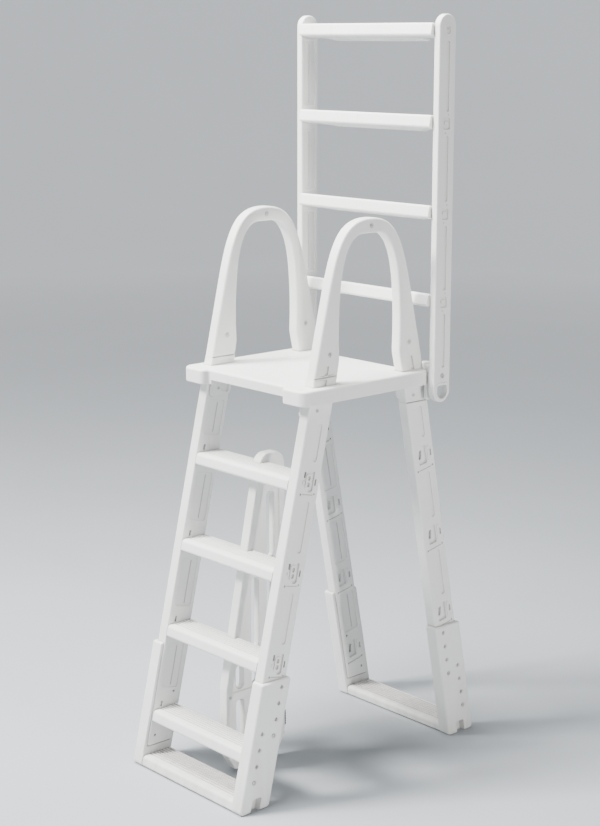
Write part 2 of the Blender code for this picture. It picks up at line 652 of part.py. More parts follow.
def make_foot(leg, frame):
    """A foot extension: two sleeves round the legs' lower ends, joined by a rung at the floor."""
    reach = LEG_DEPTH / 2 + GAP / 2 + SLEEVE_WALL
    outer_x = FRAME_WIDTH / 2 + GAP + SLEEVE_OUTER_WALL
    outline = leg.outline(
        [
            (-reach, SLEEVE_TOP, SLEEVE_TOP_RADIUS),
            (-reach, 0, SLEEVE_FOOT_RADIUS),
            (reach, 0, SLEEVE_FOOT_RADIUS),
            (reach, SLEEVE_TOP, SLEEVE_TOP_RADIUS),
        ]
    )
    inside = LEG_DEPTH / 2 + GAP
    channel = leg.outline(
        [
            (-inside, SLEEVE_CHANNEL_TOP, 0),
            (-inside, SLEEVE_FLOOR, 0),
            (inside, SLEEVE_FLOOR, 0),
            (inside, SLEEVE_CHANNEL_TOP, 0),
        ]
    )
    notch = SLEEVE_NOTCH_WIDTH / 2
    notch_outline = leg.outline(
        [
            (-notch, -INCH, 0),
            (notch, -INCH, 0),
            (notch, SLEEVE_NOTCH_HEIGHT, SLEEVE_NOTCH_RADIUS),
            (-notch, SLEEVE_NOTCH_HEIGHT, SLEEVE_NOTCH_RADIUS),
        ]
    )
    channel_outer = FRAME_WIDTH / 2 + GAP
    channel_width = channel_outer - SLEEVE_CHANNEL_INNER_X
    width = outer_x - SLEEVE_INNER_EDGE
    rows = {"upper": (-leg.outwards * UPPER_HOLE_ROW[0], UPPER_HOLE_ROW[1])}
    rows["lower"] = (-leg.outwards * LOWER_HOLE_ROW[0], LOWER_HOLE_ROW[1])
    for side, sign in SIDES:
        name = f"{leg.name}_foot_sleeve_{side}"
        x = sign * (outer_x + SLEEVE_INNER_EDGE) / 2
        sleeve = plate(name, [outline], x, width, white, frame)
        bevel(sleeve, SOFT_EDGE)
        channel_x = sign * (SLEEVE_CHANNEL_INNER_X + channel_outer) / 2
        cut(sleeve, cutter_plate(f"{name}_channel", channel, channel_x, channel_width, frame))
        notch_width = 2 * SLEEVE_NOTCH_DEPTH
        cut(sleeve, cutter_plate(f"{name}_notch", notch_outline, sign * outer_x, notch_width, frame))
        holes = []
        for row, (across, lowest) in rows.items():
            start = leg.along(across, lowest)
            holes += [(across, start + i * ADJUSTMENT_PITCH) for i in range(ADJUSTMENT_HOLES)]
            fit = SLEEVE_OUTER_WALL - FOOT_SCREW_SETBACK
            screw_name = f"{leg.name}_foot_screw_{side}_{row}"
            foot_screw(screw_name, (across, start), sign * outer_x, fit, frame, sign)
        wall_x = sign * (outer_x - SLEEVE_OUTER_WALL / 2)
        drill(sleeve, f"{name}_holes", holes, ADJUSTMENT_HOLE_RADIUS, frame, wall_x, ADJUSTMENT_DRILL)
    half = reach - FOOT_RUNG_INSET
    corners = [
        (-half, FOOT_RUNG_HIGH, STEP_NOSE_RADIUS),
        (-half, FOOT_RUNG_LOW, STEP_EDGE_RADIUS),
        (half, FOOT_RUNG_LOW, STEP_EDGE_RADIUS),
        (half, FOOT_RUNG_HIGH, STEP_EDGE_RADIUS),
    ]
    plate(f"{leg.name}_foot_rung", [leg.outline(corners)], 0, 2 * (SLEEVE_INNER_EDGE - GAP), white, frame)


def make_hinges(parent):
    """The brackets behind the rear posts, and the bolts that the flip-up ladder turns on."""
    for side, sign in SIDES:
        plan = [
            Vector((sign * x, y))
            for x, y in (
                (BRACKET_INNER_X, BRACKET_FRONT),
                (BRACKET_OUTER_X, BRACKET_FRONT),
                (BRACKET_OUTER_X, BRACKET_BACK),
                (BRACKET_ARM_X, BRACKET_BACK),
                (BRACKET_ARM_X, BRACKET_ARM_FRONT),
                (BRACKET_INNER_X, BRACKET_ARM_FRONT),
            )
        ]
        height = BRACKET_TOP - BRACKET_BOTTOM
        name = f"hinge_bracket_{side}"
        bracket = slab(name, [plan], (BRACKET_TOP + BRACKET_BOTTOM) / 2, height, white, parent)
        bevel(bracket, FINE_EDGE)
        around_tab = [
            Vector((sign * x, y))
            for x, y in (
                (BRACKET_TAB_OUTER_X, BRACKET_FRONT - INCH),
                (BRACKET_OUTER_X + INCH, BRACKET_FRONT - INCH),
                (BRACKET_OUTER_X + INCH, BRACKET_BACK + INCH),
                (BRACKET_ARM_X - INCH, BRACKET_BACK + INCH),
                (BRACKET_ARM_X - INCH, BRACKET_TAB_BACK),
                (BRACKET_TAB_OUTER_X, BRACKET_TAB_BACK),
            )
        ]
        depth = 2 * (BRACKET_TAB_TOP - BRACKET_BOTTOM)
        z = BRACKET_BOTTOM
        cut(bracket, slab(f"{name}_clearance", [around_tab], z, depth, white, parent, collection=cutters))
        place = (HINGE_Y, HINGE_Z)
        x = sign * (BRACKET_INNER_X + BRACKET_OUTER_X) / 2
        drill(bracket, f"{name}_hole", [place], BUSHING_INNER_RADIUS, parent, x, HINGE_DRILL)
        outer = RAIL_INNER_X + RAIL_THICKNESS
        length = outer - BRACKET_INNER_X
        profile = (
            (0, HINGE_HEAD_HEIGHT),
            (0.7 * HINGE_HEAD_RADIUS, HINGE_HEAD_HEIGHT),
            (HINGE_HEAD_RADIUS, 0.4 * HINGE_HEAD_HEIGHT),
            (HINGE_HEAD_RADIUS, SEAT_GAP),
            (HINGE_BOLT_RADIUS, SEAT_GAP),
            (HINGE_BOLT_RADIUS, -length),
            (0, -length),
        )
        turned(f"hinge_bolt_{side}", profile, steel, parent, (sign * (outer + SEAT_GAP), *place), sign)


def make_flip_ladder(flip):
    """The outside ladder, in the frame of its hinge, standing straight up."""
    outline = slot(0, -RAIL_BELOW_HINGE, RAIL_ABOVE_HINGE, RAIL_DEPTH, 10)
    side_wall = LOCK_SLOT_WIDTH / 2
    round_end = 0.98 * side_wall  # a little short of a half circle, so that the two arcs don't meet
    lock_slot = rounded(
        [
            (-side_wall, LOCK_SLOT_TOP, LOCK_SLOT_RADIUS),
            (-side_wall, LOCK_SLOT_BOTTOM, round_end),
            (side_wall, LOCK_SLOT_BOTTOM, round_end),
            (side_wall, LOCK_SLOT_TOP, LOCK_SLOT_RADIUS),
        ],
        5,
    )
    x = RAIL_INNER_X + RAIL_THICKNESS / 2
    for side, sign in SIDES:
        rail = plate(f"flip_rail_{side}", [outline, lock_slot], sign * x, RAIL_THICKNESS, white, flip)
        bevel(rail, FINE_EDGE)
        drill(rail, f"flip_rail_{side}_hinge_hole", [(0, 0)], BUSHING_HOLE_RADIUS, flip, sign * x, HINGE_DRILL)
        length = RAIL_THICKNESS - 2 * BUSHING_INSET
        profile = (
            (BUSHING_INNER_RADIUS, length),
            (BUSHING_OUTER_RADIUS, length),
            (BUSHING_OUTER_RADIUS, 0),
            (BUSHING_INNER_RADIUS, 0),
        )
        start = sign * (RAIL_INNER_X + BUSHING_INSET)
        turned(f"hinge_bushing_{side}", profile, black, flip, (start, 0, 0), sign)
    wide = RAIL_INNER_X - GAP
    tongue = RUNG_TONGUE_HALF_WIDTH
    right = [
        (tongue, RUNG_BACK, RUNG_BACK_RADIUS),
        (tongue, RUNG_SHOULDER - RUNG_CHAMFER[1], 0),
        (tongue + RUNG_CHAMFER[0], RUNG_SHOULDER, 0),
        (wide, RUNG_SHOULDER, 0),
        (wide, RUNG_NOSE, 0),
    ]
    left = [(-u, v, r) for u, v, r in reversed(right)]
    plan = rounded(right + left)
    tilt = math.pi - REAR_LEAN
    c, s = math.cos(tilt), math.sin(tilt)
    for k in range(RUNG_COUNT):
        along = RUNG_FIRST + k * STEP_PITCH
        middle = -RUNG_HEIGHT / 2
        name = f"flip_rung_{k + 1}"
        rung = slab(name, [plan], 0, RUNG_HEIGHT, white, flip, tilt)
        rung.location = (0, -middle * s, along + middle * c)
        bevel(rung, RUNG_EDGE)


clear_scene()
parts = new_collection("pool_ladder")
cutters = new_collection("cutters")
white = new_material("white_plastic", WHITE, 0.42)
black = new_material("black_rubber", BLACK, 0.7)
steel = new_material("screw_steel", STEEL, 0.4, 1.0)

base = new_empty("base")
front_leg = Leg("front", -1, FRONT_LEAN, FRONT_BOLT_Z)
rear_leg = Leg("rear", 1, REAR_LEAN, REAR_BOLT_Z)
front_frame = front_leg.frame("front_leg_frame", base)
rear_frame = rear_leg.frame("rear_leg_frame", base)
front_foot = front_leg.frame("front_foot", None)
rear_foot = rear_leg.frame("rear_foot", None)
flip_ladder = new_empty("flip_ladder", (0, HINGE_Y, HINGE_Z))

platform = make_deck(base)
leg_socket_cutters(platform, front_leg, front_frame)
leg_socket_cutters(platform, rear_leg, rear_frame)
make_legs(front_leg, front_frame, DECK_TOP + FRONT_JOIN_RISE)
make_legs(rear_leg, rear_frame, DECK_TOP - REAR_JOIN_DROP - JOIN_GAP)
for side_name, side_sign in SIDES:
    make_deck_bracket(front_leg, front_frame, side_name, side_sign)
    make_deck_bracket(rear_leg, rear_frame, side_name, side_sign)
    make_handrail(side_name, side_sign, base, rear_leg)
make_steps(front_leg, front_frame, base)
make_barrier(base)
make_foot(front_leg, front_foot)
make_foot(rear_leg, rear_foot)
make_hinges(base)
make_flip_ladder(flip_ladder)
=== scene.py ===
"""The looks of the pool ladder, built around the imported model.

Lengths inside the shape functions are in inches. A place function turns (u, v, w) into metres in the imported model's
frame, where u and v lie in a piece's own plane and w runs through its thickness.
"""

import math

import bmesh
import bpy
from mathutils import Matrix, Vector
from mathutils.geometry import tessellate_polygon


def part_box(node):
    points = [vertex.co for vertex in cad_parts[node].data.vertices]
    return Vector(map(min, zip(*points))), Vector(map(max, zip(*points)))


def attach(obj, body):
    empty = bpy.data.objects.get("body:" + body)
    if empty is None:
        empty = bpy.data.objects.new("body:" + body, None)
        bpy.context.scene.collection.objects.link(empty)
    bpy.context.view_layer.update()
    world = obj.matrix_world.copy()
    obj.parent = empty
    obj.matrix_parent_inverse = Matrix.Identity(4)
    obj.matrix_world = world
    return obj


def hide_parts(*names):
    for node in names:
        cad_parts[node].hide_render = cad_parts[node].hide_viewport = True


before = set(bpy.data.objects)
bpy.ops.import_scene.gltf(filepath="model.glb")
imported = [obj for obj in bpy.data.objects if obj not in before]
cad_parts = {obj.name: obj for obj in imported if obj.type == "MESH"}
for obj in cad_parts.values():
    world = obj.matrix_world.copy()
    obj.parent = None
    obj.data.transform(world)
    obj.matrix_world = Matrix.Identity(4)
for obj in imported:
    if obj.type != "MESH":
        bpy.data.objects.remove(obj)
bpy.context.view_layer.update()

INCH = 0.0254
SIDES = (("left", -1), ("right", 1))


def box_inches(node):
    low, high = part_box(node)
    return low / INCH, high / INCH


# Dimensions in inches, read from the CAD where a box gives them
LEG_INNER = box_inches("front_leg_right")[0].x
LEG_OUTER = box_inches("front_leg_right")[1].x
LEG_BOTTOM = box_inches("front_leg_right")[0].z
LEG_DEPTH = 3.75
FOOT_REACH = 20.4
FRONT_LEAN = math.radians(13.04)
REAR_LEAN = math.radians(10.88)
CLEAR = 0.0315

DECK_TOP = box_inches("platform_deck")[1].z
DECK_LOW = box_inches("platform_deck")[0].z
DECK_UNDERSIDE = DECK_TOP - 1.3
PITCH = 11.0
STEP_TOPS = [DECK_TOP - k * PITCH for k in range(1, 5)]

BARRIER_LOW, BARRIER_HIGH = box_inches("barrier_panel")
BARRIER_HALF = 0.75
BARRIER_FRONT = -14.4
BARRIER_TOP_FRONT = -8.4
BARRIER_BACK = -4.5
BARRIER_KNEE = 11.6

HINGE_Y, HINGE_Z = (sum(box_inches("hinge_bushing_right"), Vector()) / 2).yz
HINGE_BORE = 0.207
RAIL_INNER = box_inches("flip_rail_right")[0].x
RAIL_OUTER = box_inches("flip_rail_right")[1].x
RAIL_LOW = box_inches("flip_rail_right")[0].z
RAIL_HIGH = box_inches("flip_rail_right")[1].z
RAIL_DEPTH = 2.88
RUNG_HALF = 0.8
FLIP_RUNGS = [HINGE_Z + 8.54 + k * PITCH for k in range(4)]

BOLT_HOLE = 0.125
LEG_BOLT_U = 1.3 - LEG_DEPTH / 2
LEG_BOLT_HEIGHTS = {"front": 48.45, "rear": 48.1}
HANDRAIL_MIDDLE = 1.0
HANDRAIL_BOLTS = {"top": (1.0, 18.775), "front": (-5.8, 3.75), "rear": (7.8, 3.75)}  # Y, and height over the deck
BARRIER_BOLT = (-13.8, 10.5)
SCREW_ROWS = ((0.95, 9.1), (-0.95, 3.85))  # across a leg, towards the ladder's middle, and the lowest hole's height
SCREW_PITCH = 2.03


# ---------------------------------------------------------------- outlines


def anticlockwise(loop):
    area = sum(a.x * b.y - b.x * a.y for a, b in zip(loop, loop[1:] + loop[:1]))
    return loop if area > 0 else loop[::-1]


def rounded(corners, steps=5):
    """The outline through (u, v, radius) corners, with each radius as an arc."""
    points = []
    for i, (u, v, radius) in enumerate(corners):
        corner = Vector((u, v))
        if radius == 0:
            points.append(corner)
            continue
        before = (Vector(corners[i - 1][:2]) - corner).normalized()
        after = (Vector(corners[(i + 1) % len(corners)][:2]) - corner).normalized()
        half_angle = before.angle(after) / 2
        centre = corner + (before + after).normalized() * radius / math.sin(half_angle)
        start = corner + before * radius / math.tan(half_angle) - centre
        end = corner + after * radius / math.tan(half_angle) - centre
        turn = start.angle_signed(end)
        for step in range(steps + 1):
            angle = -turn * step / steps
            c, s = math.cos(angle), math.sin(angle)
            points.append(centre + Vector((start.x * c - start.y * s, start.x * s + start.y * c)))
    return anticlockwise(points)


def block(u0, u1, v0, v1, radius=0.1, steps=4):
    return rounded([(u0, v0, radius), (u1, v0, radius), (u1, v1, radius), (u0, v1, radius)], steps)


def disc(u, v, radius, sides=24):
    turns = [2 * math.pi * i / sides for i in range(sides)]
    return [Vector((u + radius * math.cos(a), v + radius * math.sin(a))) for a in turns]


def cross(u, v, reach, arm):
    """A plus sign, as in a screw's head."""
    quarter = [(reach, -arm), (reach, arm), (arm, arm)]
    points = []
    for i in range(4):
        c, s = round(math.cos(i * math.pi / 2)), round(math.sin(i * math.pi / 2))
        points += [Vector((u + a * c - b * s, v + a * s + b * c)) for a, b in quarter]
    return anticlockwise(points)


def cubic(p0, p1, p2, p3, steps):
    """Points on a cubic curve, without its first one."""
    points = []
    for i in range(1, steps + 1):
        t = i / steps
        weights = ((1 - t) ** 3, 3 * t * (1 - t) ** 2, 3 * t * t * (1 - t), t**3)
        points.append(sum((Vector(p) * w for p, w in zip((p0, p1, p2, p3), weights)), Vector((0, 0))))
    return points


def offset(loop, distance):
    """An anticlockwise loop moved outwards, or inwards if distance is negative."""
    moved = []
    for i, point in enumerate(loop):
        before = (point - loop[i - 1]).normalized()
        after = (loop[(i + 1) % len(loop)] - point).normalized()
        first, second = Vector((before.y, -before.x)), Vector((after.y, -after.x))
        moved.append(point + (first + second) * distance / max(1 + first.dot(second), 0.4))
    return moved


# ---------------------------------------------------------------- solids


class Solid:
    """A plate with rounded rims, and with recesses, raised parts and holes built into its two faces.

    A feature is (loop, depth, fillet, inner features). A depth over 0 is a recess, under 0 is raised,
    and a text depth names a hole that goes through to the feature of that name on the other face.
    """

    def __init__(self, place, steps=3):
        self.mesh = bmesh.new()
        self.place = place
        self.steps = steps
        self.holes = {}

    def ring(self, loop, w):
        return [self.mesh.verts.new(self.place(point.x, point.y, w)) for point in loop]

    def wall(self, low, high):
        for i in range(len(low)):
            self.mesh.faces.new((low[i - 1], low[i], high[i], high[i - 1]))

    def cap(self, loop, verts, w, outwards, features):
        """The flat face at w, with its features built in."""
        loops, rings = [loop], [verts]
        for feature in features:
            mouth, mouth_ring = self.feature(w, outwards, *feature)
            loops.append(mouth)
            rings.append(mouth_ring)
        flat = [vert for ring in rings for vert in ring]
        triangles = tessellate_polygon([[point.to_3d() for point in each] for each in loops])
        for triangle in triangles:
            corners = [flat[i] for i in triangle]
            if len(set(corners)) < 3:
                continue
            try:
                self.mesh.faces.new(corners)
            except ValueError:  # that face is there already
                pass

    def feature(self, w, outwards, loop, depth, fillet=0.03, inner=()):
        """Builds one feature on the face at w, and gives its mouth for the face to join on to."""
        loop = anticlockwise(loop)
        through = isinstance(depth, str)
        inwards = -outwards if through or depth > 0 else outwards
        radius = fillet if through else min(fillet, abs(depth) / 2)
        mouth = offset(loop, radius)
        first = last = self.ring(mouth, w)
        for step in range(1, self.steps + 1):
            angle = math.pi / 2 * step / self.steps
            level = w + inwards * radius * (1 - math.cos(angle))
            here = self.ring(offset(loop, radius * (1 - math.sin(angle))), level)
            self.wall(last, here)
            last = here
        if through:
            if depth in self.holes:
                self.wall(last, self.holes.pop(depth))
            else:
                self.holes[depth] = last
            return mouth, first
        drop = abs(depth)
        for step in range(self.steps + 1):
            angle = math.pi / 2 * step / self.steps
            level = w + inwards * (drop - radius + radius * math.sin(angle))
            if step == 0 and drop - 2 * radius < 1e-6:
                continue
            here = self.ring(offset(loop, -radius * (1 - math.cos(angle))), level)
            self.wall(last, here)
            last = here
        floor = offset(loop, -radius)
        self.cap(floor, last, w + inwards * drop, outwards, inner)
        return mouth, first

    def plate(self, outline, low, high, fillet=0.1, low_fillet=None, low_features=(), high_features=()):
        """Adds a plate from w = low to high. A convex corner is sharp, or at least as round as the fillet."""
        outline = anticlockwise(outline)
        low_fillet = fillet if low_fillet is None else low_fillet
        rims = []
        for radius, w, outwards in ((low_fillet, low, -1), (fillet, high, 1)):
            rings = []
            for step in range(self.steps + 1):
                angle = math.pi / 2 * step / self.steps
                level = w - outwards * radius * (1 - math.cos(angle))
                rings.append(self.ring(offset(outline, -radius * (1 - math.sin(angle))), level))
            for first, second in zip(rings, rings[1:]):
                self.wall(first, second)
            rims.append(rings)
        self.wall(rims[0][-1], rims[1][-1])
        self.cap(offset(outline, -fillet), rims[1][0], high, 1, high_features)
        self.cap(offset(outline, -low_fillet), rims[0][0], low, -1, low_features)
        return self

def mesh_object(name, solid):
    bmesh.ops.recalc_face_normals(solid.mesh, faces=solid.mesh.faces)
    if solid.mesh.calc_volume(signed=True) < 0:
        bmesh.ops.reverse_faces(solid.mesh, faces=solid.mesh.faces)
    mesh = bpy.data.meshes.new(name)
    solid.mesh.to_mesh(mesh)
    solid.mesh.free()
    obj = bpy.data.objects.new(name, mesh)
    bpy.context.scene.collection.objects.link(obj)
    return obj


def cut(obj, cutters):
    """Takes the cutter solids out of obj's mesh."""
    for i, solid in enumerate(cutters):
        cutter = mesh_object(f"{obj.name}_cutter_{i}", solid)
        modifier = obj.modifiers.new("Cut", "BOOLEAN")
        modifier.operation = "DIFFERENCE"
        modifier.solver = "EXACT"
        modifier.object = cutter
        bpy.context.view_layer.update()
        evaluated = obj.evaluated_get(bpy.context.evaluated_depsgraph_get())
        mesh = bpy.data.meshes.new_from_object(evaluated)
        obj.modifiers.remove(modifier)
        obj.data = mesh
        bpy.data.objects.remove(cutter)


def piece(node, solid, material, body, cutters=(), sharp=38):
    """One visible piece that stands for one CAD node."""
    obj = mesh_object(f"{node}_moulding", solid)
    if cutters:
        cut(obj, cutters)
    mesh = obj.data
    mesh.materials.clear()
    mesh.materials.append(material)
    mesh.shade_smooth()
    mesh.set_sharp_from_angle(angle=math.radians(sharp))
    normals = obj.modifiers.new("Weighted normals", "WEIGHTED_NORMAL")
    normals.keep_sharp = True
    normals.weight = 100
    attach(obj, body)
    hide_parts(node)
    return obj


# ---------------------------------------------------------------- materials


def link(tree, source, target):
    tree.links.new(source, target)


def noise(tree, coords, scale, detail, stretch=(1, 1, 1), seed=0.0):
    mapping = tree.nodes.new("ShaderNodeMapping")
    mapping.inputs["Scale"].default_value = stretch
    mapping.inputs["Location"].default_value = (seed, seed * 1.7, seed * 0.6)
    texture = tree.nodes.new("ShaderNodeTexNoise")
    texture.inputs["Scale"].default_value = scale
    texture.inputs["Detail"].default_value = detail
    link(tree, coords, mapping.inputs["Vector"])
    link(tree, mapping.outputs["Vector"], texture.inputs["Vector"])
    return texture.outputs["Fac"]


def spread(tree, value, low, high, to_low, to_high):
    node = tree.nodes.new("ShaderNodeMapRange")
    node.inputs["From Min"].default_value = low
    node.inputs["From Max"].default_value = high
    node.inputs["To Min"].default_value = to_low
    node.inputs["To Max"].default_value = to_high
    link(tree, value, node.inputs["Value"])
    return node.outputs["Result"]


def mixed(tree, factor, first, second):
    node = tree.nodes.new("ShaderNodeMix")
    node.data_type = "RGBA"
    link(tree, factor, node.inputs["Factor"])
    for value, socket in ((first, node.inputs["A"]), (second, node.inputs["B"])):
        if isinstance(value, tuple):
            socket.default_value = (*value, 1.0)
        else:
            link(tree, value, socket)
    return node.outputs["Result"]


def math_node(tree, operation, first, second):
    node = tree.nodes.new("ShaderNodeMath")
    node.operation = operation
    for value, socket in ((first, node.inputs[0]), (second, node.inputs[1])):
        if isinstance(value, (int, float)):
            socket.default_value = value
        else:
            link(tree, value, socket)
    return node.outputs["Value"]


def bump(tree, height, strength, distance, normal=None):
    node = tree.nodes.new("ShaderNodeBump")
    node.inputs["Strength"].default_value = strength
    node.inputs["Distance"].default_value = distance
    link(tree, height, node.inputs["Height"])
    if normal is not None:
        link(tree, normal, node.inputs["Normal"])
    return node.outputs["Normal"]


def new_material(name):
    material = bpy.data.materials.new(name)
    material.use_nodes = True
    tree = material.node_tree
    coords = tree.nodes.new("ShaderNodeTexCoord").outputs["Object"]
    return material, tree, tree.nodes["Principled BSDF"], coords


def plastic(name, seed, grain=0.00012, grain_scale=900, dust=0.0, rough=0.4):
    """Satin white moulded resin: a cloudy tint, specks, scuffs, sink marks and a fine grain.

    Dust gathers towards the floor, and painted shade from an ambient occlusion mask darkens the crevices.
    """
    material, tree, shader, coords = new_material(name)
    cloud = spread(tree, noise(tree, coords, 3.5, 4, seed=seed), 0.3, 0.7, 0, 1)
    base = mixed(tree, cloud, (0.80, 0.795, 0.775), (0.84, 0.838, 0.822))
    speck = spread(tree, noise(tree, coords, 420, 2, seed=seed), 0.62, 0.74, 0, 0.35)
    base = mixed(tree, speck, base, (0.74, 0.73, 0.70))
    scuff = noise(tree, coords, 26, 6, stretch=(1.0, 1.0, 0.16), seed=seed + 3.1)
    scuffed = spread(tree, scuff, 0.6, 0.72, 0, 0.3)
    base = mixed(tree, scuffed, base, (0.72, 0.71, 0.685))
    if dust:
        height = tree.nodes.new("ShaderNodeSeparateXYZ")
        link(tree, coords, height.inputs["Vector"])
        low = spread(tree, height.outputs["Z"], 0.0, 0.26, dust, 0.0)
        patchy = math_node(tree, "MULTIPLY", low, spread(tree, scuff, 0.35, 0.65, 0.25, 1.0))
        base = mixed(tree, patchy, base, (0.50, 0.47, 0.42))
    # Painted shade: an ambient occlusion mask darkens the colour in crevices, grooves and recesses, where shade falls.
    crevice_occlusion = tree.nodes.new("ShaderNodeAmbientOcclusion")
    crevice_occlusion.samples = 6
    crevice_occlusion.inputs["Distance"].default_value = 0.008
    painted_crevice_shade = spread(tree, crevice_occlusion.outputs["AO"], 0.4, 0.92, 0.5, 0.0)
    base = mixed(tree, painted_crevice_shade, base, (0.30, 0.28, 0.25))
    link(tree, base, shader.inputs["Base Color"])
    smooth = spread(tree, noise(tree, coords, 14, 5, seed=seed + 7), 0.3, 0.7, rough - 0.05, rough + 0.07)
    rubbed = spread(tree, scuff, 0.55, 0.75, 0, 0.12)
    link(tree, math_node(tree, "ADD", smooth, rubbed), shader.inputs["Roughness"])
    sink = bump(tree, noise(tree, coords, 18, 2, seed=seed + 5), 0.25, 0.0012)
    fine = bump(tree, noise(tree, coords, grain_scale, 2, seed=seed), 0.5, grain, sink)
    link(tree, fine, shader.inputs["Normal"])
    shader.inputs["Specular IOR Level"].default_value = 0.45
    shader.inputs["Subsurface Weight"].default_value = 0.04
    shader.inputs["Subsurface Radius"].default_value = (1.0, 0.95, 0.85)
    shader.inputs["Subsurface Scale"].default_value = 0.003
    return material


def rubber():
    material, tree, shader, coords = new_material("ribbed_black_rubber")
    cloud = spread(tree, noise(tree, coords, 60, 4), 0.3, 0.7, 0, 1)
    link(tree, mixed(tree, cloud, (0.012, 0.012, 0.012), (0.030, 0.029, 0.028)), shader.inputs["Base Color"])
    link(tree, spread(tree, noise(tree, coords, 90, 4), 0.3, 0.7, 0.62, 0.85), shader.inputs["Roughness"])
    link(tree, bump(tree, noise(tree, coords, 1400, 2), 0.6, 0.0002), shader.inputs["Normal"])
    return material


def steel():
    """Zinc-plated screw steel with turning marks and a little tarnish."""
    material, tree, shader, coords = new_material("plated_screw_steel")
    tarnish = spread(tree, noise(tree, coords, 160, 5), 0.4, 0.7, 0, 1)
    link(tree, mixed(tree, tarnish, (0.66, 0.655, 0.645), (0.40, 0.385, 0.365)), shader.inputs["Base Color"])
    link(tree, spread(tree, tarnish, 0, 1, 0.30, 0.55), shader.inputs["Roughness"])
    marks = noise(tree, coords, 900, 3, stretch=(0.1, 1, 1))
    link(tree, bump(tree, marks, 0.4, 0.00008), shader.inputs["Normal"])
    shader.inputs["Metallic"].default_value = 0.7
    return material


def polymer():
    material, tree, shader, coords = new_material("bushing_polymer")
    cloud = spread(tree, noise(tree, coords, 80, 3), 0.3, 0.7, 0, 1)
    link(tree, mixed(tree, cloud, (0.02, 0.02, 0.02), (0.04, 0.04, 0.038)), shader.inputs["Base Color"])
    link(tree, spread(tree, noise(tree, coords, 120, 3), 0.3, 0.7, 0.4, 0.55), shader.inputs["Roughness"])
    link(tree, bump(tree, noise(tree, coords, 1600, 2), 0.4, 0.0001), shader.inputs["Normal"])
    return material


leg_plastic = plastic("leg_resin", 1.0)
step_plastic = plastic("step_resin", 4.3, dust=0.10)
deck_plastic = plastic("deck_resin", 8.6, grain=0.0004, grain_scale=520, rough=0.46)
rail_plastic = plastic("rail_resin", 12.9)
arch_plastic = plastic("handrail_resin", 17.2, rough=0.36)
foot_plastic = plastic("foot_resin", 21.5, dust=0.42, rough=0.44)
barrier_plastic = plastic("barrier_resin", 25.8, dust=0.12)
black_rubber = rubber()
screw_steel = steel()
bushing = polymer()


# ---------------------------------------------------------------- frames of reference


class Leg:
    """A leaning pair of legs. In its frame u runs across a leg's depth and v up the leg."""

    def __init__(self, outwards, lean):
        self.outwards = outwards
        self.tilt = outwards * lean
        self.floor_y = outwards * (FOOT_REACH - LEG_DEPTH / 2 / math.cos(lean))

    def along(self, u, z):
        return (z - u * math.sin(self.tilt)) / math.cos(self.tilt)

    def height(self, point):
        return point.x * math.sin(self.tilt) + point.y * math.cos(self.tilt)

    def world(self, u, z):
        """World Y of the point at u across the leg and this height, with that height."""
        return self.floor_y + u * math.cos(self.tilt) - self.along(u, z) * math.sin(self.tilt), z

    def outline(self, corners, steps=5):
        return rounded([(u, self.along(u, z), radius) for u, z, radius in corners], steps)

    def place(self, side=1):
        c, s = math.cos(self.tilt), math.sin(self.tilt)

        def to_world(u, v, w):
            return Vector((side * w, self.floor_y + u * c - v * s, u * s + v * c)) * INCH

        return to_world


def upright(side=1, y=0.0, z=0.0):
    """u and v are world Y and Z, counted from y and z, and w is the distance out from the middle."""

    def to_world(u, v, w):
        return Vector((side * w, y + u, z + v)) * INCH

    return to_world


def plan_on(side=1):
    """u is the distance out from the middle, v is world Y and w is world Z."""

    def to_world(u, v, w):
        return Vector((side * u, v, w)) * INCH

    return to_world


def rung_on(middle):
    """u runs along a flip rung, v across its tread and w through it.

    It is turned in the rails so that the tread is about level when the ladder is down.
    """
    tilt = math.pi - REAR_LEAN
    c, s = math.cos(tilt), math.sin(tilt)

    def to_world(u, v, w):
        w = w - RUNG_HALF
        return Vector((u, HINGE_Y + v * c - w * s, middle + v * s + w * c)) * INCH

    return to_world


front, rear = Leg(-1, FRONT_LEAN), Leg(1, REAR_LEAN)


# ---------------------------------------------------------------- pieces


def front_slot(k):
    """A small opening through a front leg, beside a step's end."""
    u = 1.15 - LEG_DEPTH / 2
    v = front.along(u, STEP_TOPS[k] + 0.55)
    return block(u - 0.15, u + 0.15, v - 0.38, v + 0.38, 0.12)


def rear_slot(k):
    """A slanted opening through a rear leg."""
    u = 1.45 - LEG_DEPTH / 2
    v = rear.along(u, STEP_TOPS[k] - 0.4)
    slant, half, reach = 0.13, 0.22, 0.58
    corners = [(u - half - slant, v - reach, 0.06), (u + half - slant, v - reach, 0.06)]
    corners += [(u + half + slant, v + reach, 0.06), (u - half + slant, v + reach, 0.06)]
    return rounded(corners, 3)


def front_station(k):
    """The moulded socket on a front leg's outer face: a raised loop, a hooked pocket, a recess and a seam."""
    v = front.along(0, STEP_TOPS[k] - 0.35)
    eyes = [(block(-0.36, 0.1, v + a, v + a + 0.54, 0.16), 0.28, 0.04, ()) for a in (-0.66, 0.12)]
    loop = block(-0.58, 0.32, v - 0.9, v + 0.9, 0.32)
    hook = [(0.46, 1.2), (0.46, -0.98), (0.12, -0.98), (0.12, -1.32), (0.62, -1.32), (0.86, -1.1), (0.86, 1.2)]
    hook = rounded([(a, v + b, 0.09) for a, b in hook], 3)
    features = [(loop, -0.17, 0.04, eyes), (hook, 0.26, 0.04, ())]
    features.append((block(1.04, 1.28, v - 0.5, v + 0.35, 0.1), 0.28, 0.04, ()))
    features.append((block(-0.98, -0.7, v - 0.4, v + 0.02, 0.1), -0.11, 0.03, ()))
    features.append((block(-0.72, 0.98, v - 1.7, v - 1.58, 0.05), 0.12, 0.025, ()))
    features.append((disc(-1.0, v - 1.68, 0.15, 16), 0.18, 0.03, ()))
    features.append((disc(1.22, v - 1.5, 0.13, 16), 0.14, 0.03, ()))
    return features


